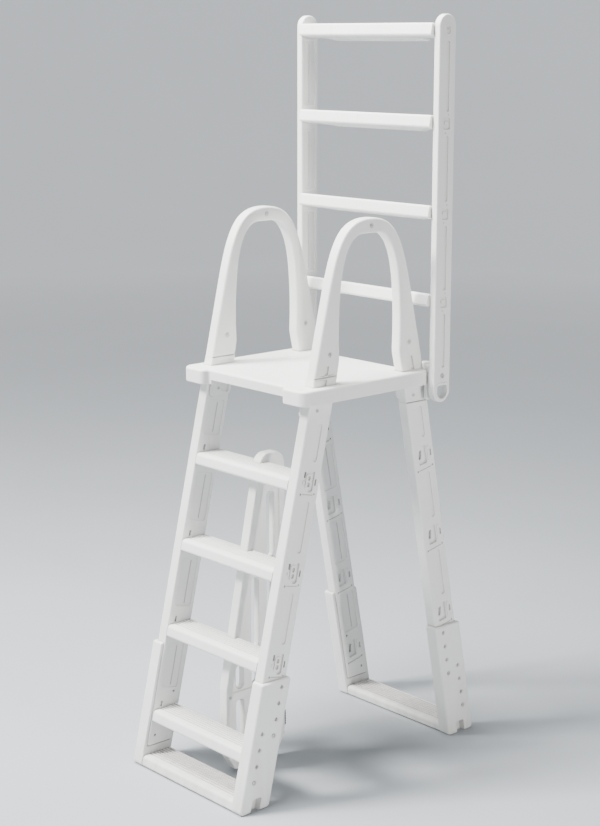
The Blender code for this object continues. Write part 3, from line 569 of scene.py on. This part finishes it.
def rear_station(k, face):
    """The moulded socket on a rear leg: a pocket with the slanted opening in it, a raised bar and a seam."""
    v = rear.along(0, STEP_TOPS[k] - 0.35)
    opening = (rear_slot(k), f"slot{k}", 0.03)
    features = [(block(-0.98, 0.42, v - 1.2, v + 1.25, 0.16), 0.3, 0.05, (opening,))]
    if face == "inner" or k < 3:  # the lowest one on the outside would stand into the foot's sleeve
        features.append((block(0.6, 0.88, v - 1.0, v + 1.05, 0.12), -0.12, 0.04, ()))
    features.append((block(1.08, 1.34, v - 0.45, v + 0.4, 0.1), 0.24, 0.04, ()))
    features.append((block(-1.15, 1.0, v - 1.95, v - 1.83, 0.05), 0.12, 0.025, ()))
    features.append((disc(-1.38, v - 1.9, 0.14, 16), 0.18, 0.03, ()))
    features.append((disc(1.28, v - 1.8, 0.14, 16), 0.18, 0.03, ()))
    return features


def make_leg(leg, name, top, side_name, side):
    """One leg: sockets level with the steps, grooves between them, and blind holes for the foot's screws."""
    half = LEG_DEPTH / 2
    outline = leg.outline([(-half, LEG_BOTTOM, 0.3), (half, LEG_BOTTOM, 0.3), (half, top, 0), (-half, top, 0)])
    is_front = leg.outwards < 0
    outer, inner = [], []
    for k in range(4):
        if is_front:
            outer.append((front_slot(k), f"slot{k}", 0.04))
            inner.append((front_slot(k), f"slot{k}", 0.04))
            if k < 3:
                outer += front_station(k)
        else:
            inner += rear_station(k, "inner")
            outer += rear_station(k, "outer")
    groove, below_deck = ((0.06, 0.74), 4.5) if is_front else ((0.04, 0.64), 4.9)
    lowest = 9.8  # inside the foot's sleeve
    uppers = [DECK_TOP - below_deck] + [z - 2.75 for z in STEP_TOPS[:3]]
    lowers = [z + 2.0 for z in STEP_TOPS[:3]] + [lowest]
    for high, low in zip(uppers, lowers):
        v0, v1 = leg.along(groove[0], low), leg.along(groove[0], high)
        outer.append((block(*groove, v0, v1, 0.3), 0.18, 0.06, ()))
        rib = (block(0.2, 0.38, v0 + 0.35, v1 - 0.35, 0.07), 0.12, 0.03, ())
        inner.append((block(-1.2, 1.35, v0, v1, 0.3), 0.12, 0.05, (rib,)))
    for u, z in SCREW_ROWS:
        u = -leg.outwards * u
        inner.append((disc(u, leg.along(u, z), 0.16, 16), 0.4, 0.03, ()))
    if is_front:
        hole = (disc(LEG_BOLT_U, leg.along(LEG_BOLT_U, LEG_BOLT_HEIGHTS[name]), BOLT_HOLE), "bolt", 0.03)
        outer.append(hole)
        inner.append(hole)
        v = leg.along(0, DECK_TOP)
        outer.append((block(-0.37, 0.23, v - 1.5, v + 0.8, 0.06), 0.26, 0.04, ()))
    solid = Solid(leg.place(side)).plate(
        outline, LEG_INNER, LEG_OUTER, 0.22, low_fillet=0.14, high_features=outer, low_features=inner
    )
    piece(f"{name}_leg_{side_name}", solid, leg_plastic, "base")


def tread_profile(leg, top, bottom, half, nose, ribs):
    """A step's cross-section: a bull nose in front, and grooves along the tread behind it."""
    corners = [(-half, bottom, 0.28), (half, bottom, 0.28), (half, top, 0.2), (-half, top, nose)]
    outline = leg.outline(corners, 6)
    first, last = half - 0.32, nose + 0.35 - half
    pitch = (first - last) / ribs
    groove = ((0.12, 0), (0.09, 0.2), (-0.09, 0.2), (-0.12, 0))
    grooved = []
    for point, after in zip(outline, outline[1:] + outline[:1]):
        grooved.append(point)
        if point.x > first and after.x < last and abs(leg.height(point) - top) < 0.02:
            for i in range(ribs):
                u = first - (i + 0.5) * pitch
                for du, drop in groove:
                    grooved.append(Vector((u + du, leg.along(u + du, top - drop))))
    return grooved


def barrier_outline(grow=0.0):
    """The barrier's outline in world Y and Z, grown where the steps are cut to let it through."""
    low, high = BARRIER_LOW.z, BARRIER_HIGH.z
    corners = [
        (BARRIER_TOP_FRONT - grow, high + grow, 1.6),
        (BARRIER_FRONT - grow, BARRIER_KNEE, 0.8),
        (BARRIER_FRONT - grow, 3.0, 0.5),
        (-13.0, low, 0.5),
        (-6.0, low, 0.5),
        (BARRIER_BACK + grow, 3.4, 0.5),
        (BARRIER_BACK + grow, high + grow, 1.6),
    ]
    return rounded(corners, 8)


def make_steps():
    reach, thickness = LEG_INNER - CLEAR, 1.5
    for k, top in enumerate(STEP_TOPS, 1):
        profile = tread_profile(front, top, top - thickness, LEG_DEPTH / 2, 0.5, 6)
        solid = Solid(front.place(), 2).plate(profile, -reach, reach, 0.03)
        cutters = []
        if k < 4:  # the lowest step stands in front of the barrier
            half = BARRIER_HALF + CLEAR
            cutters = [Solid(upright(), 1).plate(barrier_outline(CLEAR), -half, half, 0.02)]
        piece(f"front_step_{k}", solid, step_plastic, "base", cutters=cutters)


def mirrored(corners):
    """The corners, then the same ones on the other side in reverse."""
    return corners + [(-corner[0], *corner[1:]) for corner in reversed(corners)]


def make_deck():
    """The deck: a lobe over each leg, a hollow underside, and cuts where the legs and posts pass through it."""
    low, high = box_inches("platform_deck")
    lobe, small, side_notch = 7.26, 0.35, (10.75, 10.0)
    outline = mirrored(
        [
            (lobe, low.y + 0.95, small),
            (lobe + 0.4, low.y, 0.7),
            (high.x, low.y, 1.3),
            (high.x, side_notch[1], small),
            (*side_notch, 0.1),
            (side_notch[0], high.y, small),
            (lobe + 0.4, high.y, 0.7),
            (lobe, high.y - 2.5, small),
        ]
    )
    wall, pocket = LEG_INNER - 0.02, LEG_INNER - 1
    hollow = mirrored(
        [
            (lobe - small, low.y + 1.35),
            (wall, low.y + 1.7),
            (wall, high.y - 0.3),
            (pocket, high.y - 0.3),
            (pocket, high.y - 2.9),
        ]
    )
    front_cut = mirrored([(lobe - small, low.y - 1), (lobe - small, low.y + 2)])
    cutters = []
    for corners in (hollow, front_cut):
        loop = [Vector(corner) for corner in corners]
        cutters.append(Solid(plan_on(), 1).plate(loop, DECK_LOW - 1, DECK_UNDERSIDE, 0.06))
    reach = LEG_DEPTH / 2 + CLEAR
    below, above = 46, 56
    for leg in (front, rear):
        corners = leg.outline([(-reach, below, 0.1), (reach, below, 0.1), (reach, above, 0.1), (-reach, above, 0.1)])
        for _, side in SIDES:
            cutters.append(Solid(leg.place(side), 2).plate(corners, LEG_INNER - CLEAR, LEG_OUTER + CLEAR, 0.08))
    solid = Solid(plan_on(), 5).plate(rounded(outline, 6), DECK_LOW, DECK_TOP, 0.32, low_fillet=0.15)
    piece("platform_deck", solid, deck_plastic, "base", cutters=cutters)


def arch_outline():
    """One handrail's outline in world Y and Z: the arch, and the rear post, which goes on down in line with its leg."""
    crown, shoulder = (0, 19.7), (7.05, 10.6)
    outer = [Vector(crown)] + cubic(crown, (4.2, 19.7), (5.53, 17.1), shoulder, 16)
    knee, throat, top = (5.1, 2.7), (5.0, 10.3), (1.2, 17.85)
    inner = [Vector((5.68, 0.1)), Vector(knee).lerp(Vector((5.65, 0)), 0.12)]
    inner += cubic(inner[-1], Vector(knee) * 1.004, knee, Vector(knee) + Vector((0.005, 0.35)), 4)
    inner += cubic(inner[-1], (5.2, 5.0), (5.25, 7.5), throat, 9)
    inner += cubic(throat, (4.75, 14.5), (3.6, 17.85), top, 12)
    rise = 1.012
    inner_foot = Vector((-5.65, 0)).lerp(Vector((-5.1, 2.7)), rise / 2.7)
    left_inner = [Vector((-p.x, p.y)) for p in reversed(inner) if p.y > rise + 0.1]
    left_outer = [Vector((-p.x, p.y)) for p in reversed(outer)]
    low = box_inches("handrail_right")[0].z
    half = LEG_DEPTH / 2 / math.cos(REAR_LEAN)
    foot = []
    for z, side in ((DECK_TOP, 1), (low, 1), (low, -1), (DECK_TOP, -1)):
        y = rear.floor_y - math.tan(rear.tilt) * z + side * half
        foot.append(Vector((y - HANDRAIL_MIDDLE, z - DECK_TOP)))
    loop = [inner_foot, Vector((-9.29, rise))] + left_outer + outer[1:] + foot + inner[1:] + left_inner
    return [Vector((p.x + HANDRAIL_MIDDLE, p.y + DECK_TOP)) for p in loop]


def make_handrails():
    slot_u, wide, narrow = -0.07, 0.3, 0.22
    for side_name, side in SIDES:
        outer, inner = [], []
        for where, (y, rise) in HANDRAIL_BOLTS.items():
            hole = (disc(y, DECK_TOP + rise, BOLT_HOLE), where, 0.015)
            seat = (disc(y, DECK_TOP + rise, 0.33), 0.07, 0.03, (hole,))
            outer.append(seat)
            inner.append(seat)
        for leg, low, high in ((front, 1.12, 2.35), (rear, 0.12, 1.9)):
            corners = [(slot_u - wide, low, 0.04), (slot_u + wide, low, 0.04)]
            corners += [(slot_u + narrow, high, 0.1), (slot_u - narrow, high, 0.1)]
            slot = rounded([(*leg.world(u, DECK_TOP + rise), radius) for u, rise, radius in corners], 4)
            outer.append((slot, 0.24, 0.04, ()))
        hole = (disc(*rear.world(LEG_BOLT_U, LEG_BOLT_HEIGHTS["rear"]), BOLT_HOLE), "leg_bolt", 0.02)
        outer.append(hole)
        inner.append(hole)
        solid = Solid(upright(side), 5).plate(
            arch_outline(), LEG_INNER, LEG_OUTER, 0.28, high_features=outer, low_features=inner
        )
        piece(f"handrail_{side_name}", solid, arch_plastic, "base")


def make_barrier():
    """The barrier panel: a recess above and below its cross-bar, with slots through both."""
    lower_slots = [(-6.75, 2.8, 9.8), (-9.35, 2.8, 9.8), (-11.95, 2.8, 9.8)]
    upper_slots = [
        (-6.75, 11.2, 16.6),
        (-9.35, 11.2, 14.6),
        (-11.95, 11.2, 14.4),
        (-6.75, 18.2, 25.5),
        (-9.35, 16.0, 25.5),
        (-6.75, 27.6, 36.4),
    ]
    half_slot = 0.675
    holes = []
    for i, (y, low, high) in enumerate(lower_slots + upper_slots):
        holes.append((block(y - half_slot, y + half_slot, low, high, 0.6, 6), f"slot{i}", 0.1))
    back = BARRIER_BACK - 0.9
    lower = rounded(
        [
            (-13.5, 9.98, 0.3),
            (-13.5, 3.3, 0.5),
            (-12.4, 1.5, 0.4),
            (-6.4, 1.5, 0.5),
            (back, 3.6, 0.5),
            (back, 9.98, 0.3),
        ],
        5,
    )
    upper_top = 38.2
    slope = (BARRIER_FRONT - BARRIER_TOP_FRONT) / (BARRIER_KNEE - BARRIER_HIGH.z)
    top_front = BARRIER_FRONT + 1.0 + (upper_top - BARRIER_KNEE) * slope
    upper = rounded(
        [
            (-13.45, 10.99, 0.3),
            (back, 10.99, 0.3),
            (back, upper_top + 0.4, 1.2),
            (top_front, upper_top + 0.4, 0.8),
            (-13.4, 12.2, 0.5),
        ],
        6,
    )
    bolt = (disc(*BARRIER_BOLT, BOLT_HOLE), "bolt", 0.015)
    split = len(lower_slots)
    face = [(lower, 0.2, 0.06, holes[:split]), (upper, 0.2, 0.06, holes[split:]), bolt]
    solid = Solid(upright(), 4).plate(
        barrier_outline(), -BARRIER_HALF, BARRIER_HALF, 0.2, high_features=face, low_features=face
    )
    piece("barrier_panel", solid, barrier_plastic, "base")


def make_bumper():
    """The ribbed rubber bumper on the barrier's back edge."""
    low, high, against, base = 4.2, 6.3, -4.488, -4.32
    outline = [Vector((against, low)), Vector((against, high)), Vector((base, high))]
    for i in range(6):
        z = high - 0.1 - i * 0.34
        outline += [Vector((-4.2, z)), Vector((-4.175, z - 0.09)), Vector((-4.2, z - 0.18)), Vector((-4.28, z - 0.26))]
    outline.append(Vector((base, low)))
    solid = Solid(upright(), 2).plate(outline, -0.55, 0.55, 0.03)
    piece("barrier_bumper", solid, black_rubber, "base")


def make_foot(leg, name):
    """One foot: two sleeves that slide on a pair of legs, and the rung between them."""
    reach = LEG_DEPTH / 2 + 0.4 + CLEAR / 2
    low, high = box_inches(f"{name}_foot_sleeve_right")
    outline = leg.outline([(-reach, high.z, 0.3), (-reach, 0, 0.5), (reach, 0, 0.5), (reach, high.z, 0.3)], 6)
    inside, channel_floor, above = LEG_DEPTH / 2 + CLEAR, 2.45, 20
    channel = leg.outline(
        [(-inside, above, 0.1), (-inside, channel_floor, 0.3), (inside, channel_floor, 0.3), (inside, above, 0.1)]
    )
    half, notch_top = 0.725, 1.7
    notch = leg.outline([(-half, -1, 0.05), (half, -1, 0.05), (half, notch_top, 0.2), (-half, notch_top, 0.2)])
    for side_name, side in SIDES:
        holes = []
        for u, lowest in SCREW_ROWS:
            u = -leg.outwards * u
            start = leg.along(u, lowest)
            for i in range(4):
                v = start + i * SCREW_PITCH
                hole = (disc(u, v, 0.25), 0.33, 0.03, ())
                holes.append((disc(u, v, 0.35), 0.05, 0.04, (hole,)))
        solid = Solid(leg.place(side), 5).plate(outline, low.x, high.x, 0.28, low_fillet=0.08, high_features=holes)
        cutters = [
            Solid(leg.place(side), 2).plate(channel, 7, LEG_OUTER + CLEAR, 0.08),
            Solid(leg.place(side), 2).plate(notch, high.x - 0.9, high.x + 1, 0.05),
        ]
        piece(f"{name}_foot_sleeve_{side_name}", solid, foot_plastic, f"{name}_foot", cutters=cutters)
    profile = tread_profile(leg, 1.45, 0.1, reach - 0.1, 0.5, 7)
    solid = Solid(leg.place(), 2).plate(profile, -low.x + CLEAR, low.x - CLEAR, 0.03)
    piece(f"{name}_foot_rung", solid, foot_plastic, f"{name}_foot")


def make_deck_brackets():
    """The tabs under the deck, which the leg bolts go through."""
    x, thickness = LEG_INNER - CLEAR, 0.6
    half, bottom, top = 1.5, 47.4, DECK_UNDERSIDE - 0.03
    for leg, name in ((front, "front"), (rear, "rear")):
        outline = leg.outline([(-half, bottom, 0.5), (half, bottom, 0.5), (half, top, 0), (-half, top, 0)])
        hole = (disc(LEG_BOLT_U, leg.along(LEG_BOLT_U, LEG_BOLT_HEIGHTS[name]), BOLT_HOLE), "bolt", 0.02)
        rib = (block(-0.1, 1.1, leg.along(0, 48.0), leg.along(0, 49.4), 0.15), 0.2, 0.04, ())
        for side_name, side in SIDES:
            solid = Solid(leg.place(side)).plate(
                outline, x - thickness, x, 0.08, high_features=[hole], low_features=[hole, rib]
            )
            piece(f"deck_bracket_{name}_{side_name}", solid, leg_plastic, "base")


def make_hinge_brackets():
    """The brackets behind the rear posts. Their lower half is only a tab, clear of the rail's lock slot."""
    low, high = box_inches("hinge_bracket_right")
    inner, arm_front, tab_top = 10.85, 11.27, 49.45
    corners = [
        (inner, low.y, 0.15),
        (high.x, low.y, 0.25),
        (high.x, high.y, 0.4),
        (low.x, high.y, 0.3),
        (low.x, arm_front, 0.15),
        (inner, arm_front, 0.15),
    ]
    clearance = [Vector(p) for p in ((11.35, 9), (13, 9), (13, 13.5), (8, 13.5), (8, 11.3), (11.35, 11.3))]
    for side_name, side in SIDES:
        solid = Solid(plan_on(side), 3).plate(rounded(corners, 5), low.z, high.z, 0.12)
        cutter = Solid(plan_on(side), 1).plate(clearance, low.z - 2, tab_top, 0.1)
        bore = Solid(upright(side), 1).plate(disc(HINGE_Y, HINGE_Z, HINGE_BORE), 10, 13, 0.01)
        piece(f"hinge_bracket_{side_name}", solid, leg_plastic, "base", cutters=[cutter, bore])


def rail_head(z):
    """The raised boss near a rail's top, with a screw's head sunk in it."""
    slot = (cross(HINGE_Y, z + 0.2, 0.13, 0.04), 0.06, 0.005, ())
    head = (disc(HINGE_Y, z + 0.2, 0.2), -0.05, 0.02, (slot,))
    seat = (block(HINGE_Y - 0.34, HINGE_Y + 0.34, z - 0.4, z + 0.5, 0.22), 0.12, 0.04, (head,))
    return block(HINGE_Y - 0.58, HINGE_Y + 0.58, z - 0.68, z + 0.74, 0.4), -0.07, 0.03, (seat,)


def make_flip_rails():
    """The flip ladder's rails: the lock's slot and the hinge at the foot, three sockets, and a boss at the top."""
    radius = RAIL_DEPTH / 2
    arc = [math.pi * i / 14 for i in range(15)]
    outline = [Vector((HINGE_Y + radius * math.cos(a), RAIL_HIGH - radius + radius * math.sin(a))) for a in arc]
    outline += [Vector((HINGE_Y - radius * math.cos(a), RAIL_LOW + radius - radius * math.sin(a))) for a in arc]
    wall, lock_top, lock_low = 0.875, HINGE_Z - 1.2, HINGE_Z - 2.87
    lock = rounded(
        [
            (HINGE_Y - wall, lock_top, 0.3),
            (HINGE_Y - wall, lock_low, 0.98 * wall),
            (HINGE_Y + wall, lock_low, 0.98 * wall),
            (HINGE_Y + wall, lock_top, 0.3),
        ],
        7,
    )
    hinge = (disc(HINGE_Y, HINGE_Z, 0.287), "hinge", 0.02)
    outer = [(offset(lock, 0.3), -0.1, 0.045, ((lock, "lock", 0.12),)), hinge]
    inner = [(lock, "lock", 0.09), hinge]
    sockets = [z + 0.85 for z in FLIP_RUNGS[:3]]
    lowers = [HINGE_Z + 1.1] + [z + 1.5 for z in sockets]
    uppers = [z - 1.5 for z in sockets] + [RAIL_HIGH - 3.2]
    for low, high in zip(lowers, uppers):
        outer.append((block(HINGE_Y - 0.1, HINGE_Y + 0.4, low, high, 0.16), 0.2, 0.06, ()))
        rib = (block(HINGE_Y - 0.2, HINGE_Y, low + 0.4, high - 0.4, 0.08), 0.1, 0.03, ())
        inner.append((block(HINGE_Y - 0.95, HINGE_Y + 0.95, low, high, 0.3), 0.1, 0.05, (rib,)))
    for z in sockets:
        bar = (block(HINGE_Y - 0.32, HINGE_Y + 0.32, z - 0.12, z + 0.3, 0.1), -0.12, 0.04, ())
        outer.append((block(HINGE_Y - 0.55, HINGE_Y + 0.6, z - 0.68, z + 0.68, 0.2), 0.17, 0.05, (bar,)))
        outer.append((disc(HINGE_Y - 0.2, z - 1.1, 0.1, 14), 0.09, 0.025, ()))
        outer.append((disc(HINGE_Y + 0.3, z + 1.1, 0.1, 14), 0.09, 0.025, ()))
    outer.append(rail_head(RAIL_HIGH - 1.95))
    for side_name, side in SIDES:
        solid = Solid(upright(side), 4).plate(
            outline, RAIL_INNER, RAIL_OUTER, 0.16, high_features=outer, low_features=inner
        )
        piece(f"flip_rail_{side_name}", solid, rail_plastic, "flip_ladder")


def make_flip_rungs():
    """The flip ladder's rungs: a ribbed tread that narrows to a tongue, with a hollow below."""
    wide, tongue, nose = RAIL_INNER - CLEAR, 8.4, 2.1
    corners = [(tongue, -1.85, 0.5), (tongue, -0.6, 0.15), (tongue + 0.5, 0, 0.15), (wide, 0, 0), (wide, nose, 0)]
    shape = rounded(mirrored(corners), 5)
    ribs = []
    for i in (0, 1, 2, 3, 6, 7, 8):  # none where the tread narrows
        v = 1.25 - i * 0.3
        reach = wide - 0.3 if i < 6 else tongue - 0.5
        ribs.append((block(-reach, reach, v - 0.06, v + 0.06, 0.05, 2), 0.13, 0.03, ()))
    hollow = (block(-tongue + 0.6, tongue - 0.6, -1.2, 1.2, 0.3), 0.12, 0.05, ())
    for k, middle in enumerate(FLIP_RUNGS, 1):
        solid = Solid(rung_on(middle), 4).plate(
            shape, -RUNG_HALF, RUNG_HALF, 0.3, high_features=ribs, low_features=[hollow]
        )
        piece(f"flip_rung_{k}", solid, step_plastic, "flip_ladder")


def screw_solid(place, u, v, x, length, nut, head=0.2, height=0.1, shank=0.1):
    """A pan-head screw or bolt whose head sits on x, seen from outside."""
    stand_off = 0.012

    def at(a, b, w):
        return place(u + a, v + b, x + stand_off + w)

    solid = Solid(at, 4)
    recess = (cross(0, 0, 0.6 * head, 0.16 * head), 0.55 * height, 0.004, ())
    solid.plate(disc(0, 0, head), 0, height, 0.8 * height, low_fillet=0.003, high_features=[recess])
    solid.plate(disc(0, 0, shank, 16), -length, 0.004, 0.004)
    if nut:
        solid.plate(disc(0, 0, head, 6), -length - 0.5 * height, -length + 0.004, 0.01)
    return solid


def make_hinge_pin(side_name, side):
    """The bolt that a rail turns on, and the bushing round it."""
    place = upright(side, HINGE_Y, HINGE_Z)
    bolt_end = 10.87  # in the bracket
    bolt = Solid(place, 4)
    recess = (disc(0, 0, 0.13, 6), 0.03, 0.01, ())
    bolt.plate(
        disc(0, 0, 0.32, 32), RAIL_OUTER + 0.012, RAIL_OUTER + 0.11, 0.07, low_fillet=0.01, high_features=[recess]
    )
    bolt.plate(disc(0, 0, 0.19), bolt_end, RAIL_OUTER + 0.03, 0.02)
    piece(f"hinge_bolt_{side_name}", bolt, screw_steel, "flip_ladder")
    bore = (disc(0, 0, HINGE_BORE), "bore", 0.01)
    ring = Solid(place, 2).plate(
        disc(0, 0, 0.27), RAIL_INNER + 0.01, RAIL_OUTER - 0.01, 0.015, high_features=[bore], low_features=[bore]
    )
    piece(f"hinge_bushing_{side_name}", ring, bushing, "flip_ladder")


def make_screws():
    through_leg = LEG_OUTER - LEG_INNER
    for side_name, side in SIDES:
        for where, (y, rise) in HANDRAIL_BOLTS.items():
            solid = screw_solid(upright(side), y, DECK_TOP + rise, LEG_OUTER - 0.06, through_leg - 0.03, True)
            piece(f"handrail_bolt_{side_name}_{where}", solid, screw_steel, "base")
        for leg, name in ((front, "front"), (rear, "rear")):
            v = leg.along(LEG_BOLT_U, LEG_BOLT_HEIGHTS[name])
            solid = screw_solid(leg.place(side), LEG_BOLT_U, v, LEG_OUTER, through_leg + 0.66, True)
            piece(f"leg_bolt_{name}_{side_name}", solid, screw_steel, "base")
            sleeve = box_inches(f"{name}_foot_sleeve_right")[1].x
            for row, (u, z) in zip(("upper", "lower"), SCREW_ROWS):
                u = -leg.outwards * u
                solid = screw_solid(leg.place(side), u, leg.along(u, z), sleeve - 0.06, 0.26, False, 0.24, 0.12, 0.17)
                node = f"{name}_foot_screw_{side_name}_{row}"
                piece(node, solid, screw_steel, f"{name}_foot")
        make_hinge_pin(side_name, side)
    solid = screw_solid(upright(), *BARRIER_BOLT, BARRIER_HALF, 2 * BARRIER_HALF + 0.03, True)
    piece("barrier_bolt", solid, screw_steel, "base")


leg_tops = ((front, "front", DECK_TOP + 1.0), (rear, "rear", box_inches("rear_leg_right")[1].z))
for leg, name, top in leg_tops:
    for side_name, side in SIDES:
        make_leg(leg, name, top, side_name, side)
make_steps()
make_deck()
make_handrails()
make_barrier()
make_bumper()
make_foot(front, "front")
make_foot(rear, "rear")
make_deck_brackets()
make_hinge_brackets()
make_flip_rails()
make_flip_rungs()
make_screws()


# ---------------------------------------------------------------- stage, lights and camera


def sweep():
    """A pale floor that curves up into a wall all round, like a photographer's sweep.

    It glows more the further it is from the object, which keeps the wall pale from every side.
    """
    sides, flat, curve, top = 96, 13.0, 4.0, 12.0
    bends = [math.pi / 2 * i / 16 for i in range(17)]
    profile = [(4.0, 0.0)]
    profile += [(flat + curve * math.sin(a), curve - curve * math.cos(a)) for a in bends]
    profile.append((flat + curve, top))
    turns = [2 * math.pi * i / sides for i in range(sides)]
    shape = bmesh.new()
    last = None
    for reach, z in profile:
        ring = [shape.verts.new((reach * math.cos(a), reach * math.sin(a), z)) for a in turns]
        if last is None:
            shape.faces.new(ring)
        else:
            for i in range(sides):
                shape.faces.new((last[i - 1], last[i], ring[i], ring[i - 1]))
        last = ring
    bmesh.ops.recalc_face_normals(shape, faces=shape.faces)
    mesh = bpy.data.meshes.new("floor")
    shape.to_mesh(mesh)
    shape.free()
    mesh.shade_smooth()
    obj = bpy.data.objects.new("floor", mesh)
    bpy.context.scene.collection.objects.link(obj)
    material, tree, shader, coords = new_material("pale_floor")
    cloud = spread(tree, noise(tree, coords, 1.2, 3), 0.3, 0.7, 0, 1)
    link(tree, mixed(tree, cloud, (0.41, 0.44, 0.47), (0.43, 0.46, 0.49)), shader.inputs["Base Color"])
    distance = tree.nodes.new("ShaderNodeVectorMath")
    distance.operation = "LENGTH"
    link(tree, coords, distance.inputs[0])
    glow = spread(tree, distance.outputs["Value"], 3.0, 12.0, 0.0, 0.44)
    link(tree, glow, shader.inputs["Emission Strength"])
    shader.inputs["Emission Color"].default_value = (0.94, 0.97, 1.0, 1)
    shader.inputs["Roughness"].default_value = 0.85
    mesh.materials.append(material)


def area_light(name, location, target, size, power, colour=(1, 1, 1), fan=180):
    """A square lamp of this size in metres and power in watts, whose light fans out by this many degrees."""
    light = bpy.data.lights.new(name, "AREA")
    light.size = size
    light.energy = power
    light.color = colour
    light.spread = math.radians(fan)
    obj = bpy.data.objects.new(name, light)
    obj.location = location
    aim = Vector(target) - Vector(location)
    obj.rotation_euler = aim.to_track_quat("-Z", "Y").to_euler()
    bpy.context.scene.collection.objects.link(obj)


def set_world():
    world = bpy.context.scene.world or bpy.data.worlds.new("studio")
    bpy.context.scene.world = world
    world.use_nodes = True
    background = world.node_tree.nodes["Background"]
    background.inputs["Color"].default_value = (0.90, 0.88, 0.85, 1)
    background.inputs["Strength"].default_value = 0.16


def add_camera():
    """The camera, at the photograph's viewing angle."""
    lens = bpy.data.cameras.new("camera")
    lens.lens = 74.16
    lens.sensor_width = 36.0
    camera = bpy.data.objects.new("camera", lens)
    camera.location = (3.9894, -3.6374, 2.3408)
    azimuth, elevation = math.radians(47.887), math.radians(12.423)
    level = math.cos(elevation)
    back = Vector((math.sin(azimuth) * level, -math.cos(azimuth) * level, math.sin(elevation)))
    camera.rotation_euler = (-back).to_track_quat("-Z", "Y").to_euler()
    bpy.context.scene.collection.objects.link(camera)
    bpy.context.scene.camera = camera


sweep()
area_light("key", (-2.2, -4.0, 5.0), (0, 0, 1.3), 1.4, 900, (1, 0.985, 0.96))
area_light("side", (10.0, -0.3, 1.3), (0, 0, 1.2), 0.4, 27, (1, 0.965, 0.925), fan=40)
area_light("top", (-0.4, -0.6, 5.0), (0, 0, 1.2), 1.6, 500)
set_world()
add_camera()
